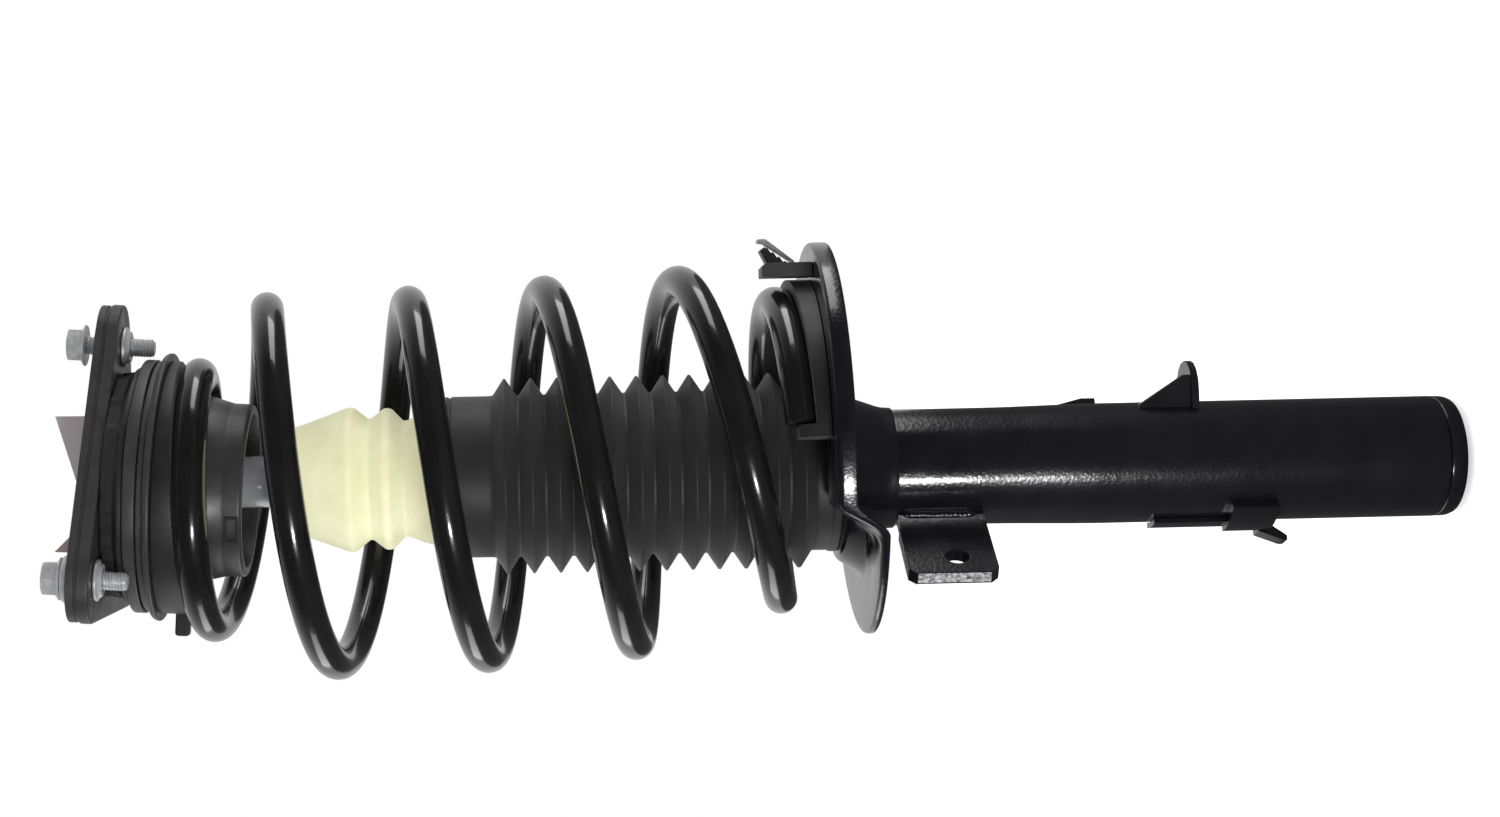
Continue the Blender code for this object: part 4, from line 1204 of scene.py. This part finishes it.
@dataclass
class FlangeBolt:
    """An M8 hexagon flange bolt with a real helical thread."""

    low: float
    head_low: float
    radius: float = 4.0
    pitch: float = 1.25
    thread_depth: float = 0.62
    tip: float = 0.6
    rings_per_pitch: int = 6
    flats: float = 13.0
    flange_radius: float = 8.8
    flange_height: float = 1.8
    head_height: float = 6.2
    steps: int = 48

    def thread_ring(self, height: float, shrink: float = 0.0) -> Ring:
        """Let a ring of the shank follow the thread's helix.

        Args:
            height: the ring's height.
            shrink: how much thinner the shank is there.

        Returns:
            The ring's points.
        """
        ring = []
        for index in range(self.steps):
            share = index / self.steps
            phase = (height / self.pitch - share) % 1.0
            depth = self.thread_depth * (1.0 - abs(2.0 * phase - 1.0))
            ring.append(polar(self.radius - depth - shrink, 2.0 * math.pi * share, height))
        return ring

    def mesh(self, name: str, matrix: Matrix) -> bpy.types.Object:
        """Return the bolt as one closed mesh.

        Args:
            name: the object's name.
            matrix: where it goes.

        Returns:
            The bolt.
        """
        rings = [circle(self.radius - 1.3, self.low, self.steps)]
        length = self.head_low - self.low - self.tip
        count = round(length / (self.pitch / self.rings_per_pitch))
        for index in range(count + 1):
            height = self.low + self.tip + length * index / count
            rings.append(self.thread_ring(height, 0.25 if index < 3 else 0.0))
        flange_top = self.head_low + self.flange_height
        top = flange_top + self.head_height
        for inset, rise in ((0.4, 0.0), (0.0, 0.3), (0.0, 0.9), (0.5, 1.2)):
            rings.append(circle(self.flange_radius - inset, self.head_low + rise, self.steps))
        rings += [hexagon(self.flats + 0.3, flange_top, self.steps),
                  hexagon(self.flats, flange_top + 0.3, self.steps),
                  hexagon(self.flats, top - 1.0, self.steps)]
        chamfer = [point * min(1.0, (self.flats / 2.0 + 0.15) / point.xy.length)
                   for point in hexagon(self.flats, 0.0, self.steps)]
        rings.append([Vector((point.x, point.y, top - 0.25)) for point in chamfer])
        rings += [circle(self.flats / 2.0 - 0.7, top, self.steps), circle(2.6, top, self.steps)]
        return skin(name, rings, wrap=False, matrix=matrix, sharp=28.0)


@dataclass
class Brackets:
    """What is welded to the tube: link, hose and clip brackets and the sensor tab."""

    link_angle: float = 238.0
    link_offset: float = 7.9
    link_thickness: float = 5.8
    link_low: float = 203.0
    link_high: float = 240.0
    link_reach: float = 66.0
    edge_margin: float = 3.5
    weld_margin: float = 3.0
    weld_radius: float = 25.6
    weld_size: float = 1.5
    weld_ripple: float = 0.22
    weld_ripples: int = 16
    weld_steps: int = 80
    weld_sides: int = 14

    def build(self) -> None:
        """Dress the brackets and the weld beads, and lay a strip of painted highlight on the link bracket's
        sheared edge.
        """
        for node in ("link_bracket", "hose_bracket", "clip_bracket", "sensor_tab"):
            dress_node(node, TUBE_ENAMEL, 0.5)
        self.build_weld("link_weld")
        # A thin pale strip over the link bracket's outer edge, which faces the key lamp: painted highlight.
        near, far = self.link_reach + 0.05, self.link_reach + 0.2
        side = self.link_thickness - 0.7
        outline = [(near, 0.5), (far, 0.5), (far, side), (near, side)]
        heading = math.radians(self.link_angle)
        aside = polar(1.0, heading + math.pi / 2.0) * -self.link_offset * MM
        place = (Matrix.Translation(aside) @ Matrix.Rotation(heading, 4, 'Z')
                 @ Matrix.Scale(-1.0, 4, (0, 1, 0)))
        strip = prism("link_bracket_edge_highlight", outline, self.link_low + self.edge_margin,
                      self.link_high - self.edge_margin, matrix=place, edge=0.05)
        dress(strip, SHEARED_EDGE_HIGHLIGHT, Body.DAMPER, "black_paint")

    def build_weld(self, name: str) -> None:
        """Lay a rippled weld bead up the tube beside the link bracket's face.

        Args:
            name: the bead's name.
        """
        # The bracket's face lies link_offset off the axis, so it meets the tube at this angle.
        meets = math.radians(self.link_angle) - math.asin(self.link_offset / self.weld_radius)
        centre = polar(1.0, meets) * (self.weld_radius + 0.2)
        low, high = self.link_low + self.weld_margin, self.link_high - self.weld_margin
        corners = [2.0 * math.pi * corner / self.weld_sides for corner in range(self.weld_sides)]
        rings = []
        for index in range(self.weld_steps + 1):
            share = index / self.weld_steps
            ends = math.sqrt(max(1.0 - (2.0 * share - 1.0) ** 8, 0.0))
            ripple = self.weld_ripple * abs(math.sin(math.pi * self.weld_ripples * share))
            size = (self.weld_size + ripple) * max(ends, 0.15)
            height = low + (high - low) * share
            wander = 0.3 * noise.noise(Vector((share * 7.0, 0.3, 0.0)))
            rings.append([centre + Vector((size * math.cos(angle) + wander, size * math.sin(angle), height))
                          for angle in corners])
        dress(skin(name, rings, wrap=False), TUBE_ENAMEL, Body.DAMPER, "black_paint")


@dataclass
class HarnessClip:
    """The black clip at the pan's rim with its slanting zinc tongue."""

    half_width: float = 5.0
    tongue_half_width: float = 3.6
    teeth: int = 4
    slope_low: tuple[float, float] = (88.0, 281.4)
    slope_high: tuple[float, float] = (95.8, 291.6)

    def build(self) -> None:
        """Build and dress the clip and the tongue."""
        start, end = Vector(self.slope_low), Vector(self.slope_high)
        slope = [start]
        for tooth in range(self.teeth):
            slope.append(start.lerp(end, (tooth + 0.75) / self.teeth))
            slope.append(start.lerp(end, (tooth + 0.85) / self.teeth) + Vector((-0.7, 0.5)))
        outline = [tuple(point) for point in slope] + [self.slope_high, (94.0, 294.0), (88.0, 291.0)]
        clip = prism("harness_clip_skin", outline, -self.half_width, self.half_width, (), UPRIGHT, 0.25)
        dress(clip, FILLED_NYLON, Body.DAMPER, "black_plastic", "harness_clip")
        outline = [(88.2, 279.2), (89.4, 279.2), (99.0, 291.4), (99.0, 294.8), (97.4, 295.0), (97.0, 292.3)]
        tongue = prism("harness_tongue_skin", rounded(outline, 0.6), -self.tongue_half_width,
                       self.tongue_half_width, (), UPRIGHT, 0.3)
        dress(tongue, ZINC, Body.DAMPER, "zinc_steel", "harness_clip_pin")


@dataclass
class Studio:
    """White surround, pale floor, lamps and the camera, in metres."""

    floor_height: float = -0.002
    floor_size: float = 3.0
    focal_length: float = 60.0
    distance: float = 1.0716
    camera_x: float = 0.0288
    camera_z: float = 0.3935
    roll: float = 1.27
    shift: float = 0.1467

    def build(self) -> None:
        """Set the stage, the lamps, the world and the camera."""
        scene = bpy.context.scene
        scene.view_settings.view_transform = 'Standard'
        self.add_world(scene)
        self.add_floor()
        self.add_lamp("key_strip", (-0.62, -1.30, 0.05), (0.17, 0.42), 16.0)
        self.add_lamp("top_box", (1.30, 0.15, 0.35), (0.9, 0.5), 5.0)
        self.add_lamp("under_box", (-1.3, 0.45, 0.4), (0.9, 0.5), 3.0)
        self.add_camera(scene)

    def add_world(self, scene: bpy.types.Scene) -> None:
        """Make a world that is white to the camera and dim towards the camera's side in reflections.

        Args:
            scene: the scene that gets the world.
        """
        world = bpy.data.worlds.new("white_studio")
        scene.world = world
        world.use_nodes = True
        tree = world.node_tree
        tree.nodes.clear()
        path = add_node(tree, "ShaderNodeLightPath")
        direction = add_node(tree, "ShaderNodeTexCoord").outputs["Generated"]
        axes = add_node(tree, "ShaderNodeSeparateXYZ", links={"Vector": direction})
        behind = add_node(tree, "ShaderNodeMapRange",
                          {"From Min": -0.35, "From Max": 0.85, "To Min": 0.02, "To Max": 0.6,
                           "interpolation_type": 'SMOOTHSTEP'}, {"Value": axes.outputs["Y"]})
        mirrored = add_node(tree, "ShaderNodeMath", {"operation": 'MULTIPLY'},
                            {0: behind.outputs["Result"], 1: path.outputs["Is Glossy Ray"]})
        seen = add_node(tree, "ShaderNodeMath", {"operation": 'MAXIMUM'},
                        {0: path.outputs["Is Camera Ray"], 1: path.outputs["Is Transmission Ray"]})
        either = add_node(tree, "ShaderNodeMath", {"operation": 'MAXIMUM'},
                          {0: mirrored.outputs[0], 1: seen.outputs[0]})
        ambient = add_node(tree, "ShaderNodeMath", {"operation": 'MULTIPLY', 1: 0.95},
                           {0: path.outputs["Is Diffuse Ray"]})
        strength = add_node(tree, "ShaderNodeMath", {"operation": 'MAXIMUM'},
                            {0: either.outputs[0], 1: ambient.outputs[0]})
        background = add_node(tree, "ShaderNodeBackground", {"Color": (1.0, 1.0, 1.0, 1.0)},
                              {"Strength": strength.outputs[0]})
        add_node(tree, "ShaderNodeOutputWorld", links={"Surface": background.outputs[0]})

    def add_floor(self) -> None:
        """Lay a floor that shows white to the camera and keeps the object's shadow."""
        bm = bmesh.new()
        bmesh.ops.create_grid(bm, x_segments=4, y_segments=4, size=self.floor_size / 2.0 / MM)
        floor = finish_mesh("floor", bm, Matrix.Translation((0.0, 0.0, self.floor_height)))
        material = bpy.data.materials.new("white_paper_sweep")
        material.use_nodes = True
        tree = material.node_tree
        shader = tree.nodes["Principled BSDF"]
        shader.inputs["Roughness"].default_value = 0.9
        path = add_node(tree, "ShaderNodeLightPath")
        # Enamel and chrome reflect a dim floor, so that their undersides stay dark.
        shade = add_node(tree, "ShaderNodeMixRGB",
                         {"Color1": linear("#f2f2f2"), "Color2": linear("#3c3c3c")},
                         {"Fac": path.outputs["Is Glossy Ray"]})
        tree.links.new(shade.outputs["Color"], shader.inputs["Base Color"])
        lift = add_node(tree, "ShaderNodeMath", {"operation": 'MULTIPLY', 1: 0.55},
                        {0: path.outputs["Is Camera Ray"]})
        shader.inputs["Emission Color"].default_value = (1.0, 1.0, 1.0, 1.0)
        tree.links.new(lift.outputs[0], shader.inputs["Emission Strength"])
        floor.data.materials.append(material)

    def add_lamp(self, name: str, place: tuple[float, float, float], size: tuple[float, float],
                 power: float) -> None:
        """Add a soft rectangular lamp that faces the object's middle.

        Args:
            name: the lamp's name.
            place: where it stands, in metres.
            size: its width and height, in metres.
            power: in watts.
        """
        data = bpy.data.lights.new(name, 'AREA')
        data.shape = 'RECTANGLE'
        data.size, data.size_y = size
        data.energy = power
        lamp = bpy.data.objects.new(name, data)
        bpy.context.scene.collection.objects.link(lamp)
        lamp.location = place
        aim = Vector((0.0, 0.0, 0.3)) - Vector(place)
        lamp.rotation_euler = aim.to_track_quat('-Z', 'Y').to_euler()

    def add_camera(self, scene: bpy.types.Scene) -> None:
        """Add the camera, turned so that the strut lies across the frame with its mount at the left.

        Args:
            scene: the scene that gets the camera.
        """
        data = bpy.data.cameras.new("camera")
        data.lens = self.focal_length
        data.shift_x = self.shift
        camera = bpy.data.objects.new("camera", data)
        scene.collection.objects.link(camera)
        tilt = math.radians(self.roll)
        down, side = Vector((0.0, 0.0, -1.0)), Vector((1.0, 0.0, 0.0))
        right = down * math.cos(tilt) - side * math.sin(tilt)
        upward = side * math.cos(tilt) + down * math.sin(tilt)
        back = right.cross(upward)
        turn = Matrix((right, upward, back)).transposed().to_4x4()
        camera.matrix_world = Matrix.Translation((self.camera_x, -self.distance, self.camera_z)) @ turn
        scene.camera = camera


def dress_hidden() -> None:
    """Give the pieces that only a section would show their real finishes."""
    finishes = {
        ZINC: ("pressure_tube", "strike_cap", "piston_nut", "sleeve_washer", "inner_sleeve", "rod_nut"),
        SINTERED: ("base_valve", "rod_guide", "piston"),
        SEAT_RUBBER: ("rod_seal", "rebound_stop", "rubber_bush"),
    }
    for finish, nodes in finishes.items():
        for node in nodes:
            dress_node(node, finish, 0.3)
    dress_node("spring_retainer", FILLED_NYLON, 0.8)


def main() -> None:
    """Build the strut's looks, sub-assembly by sub-assembly."""
    logging.basicConfig(level=logging.INFO, format="%(name)s %(message)s")
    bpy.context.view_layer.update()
    pan = SpringPan()
    spring = CoilSpring()
    for assembly in (Tube(), pan, spring, LowerIsolator(pan, spring), Boot(), RodAndBumpStop(),
                     UpperSeat(spring), TopMount(), Brackets(), HarnessClip()):
        assembly.build()
    dress_hidden()
    Studio().build()


if __name__ == "__main__":
    main()
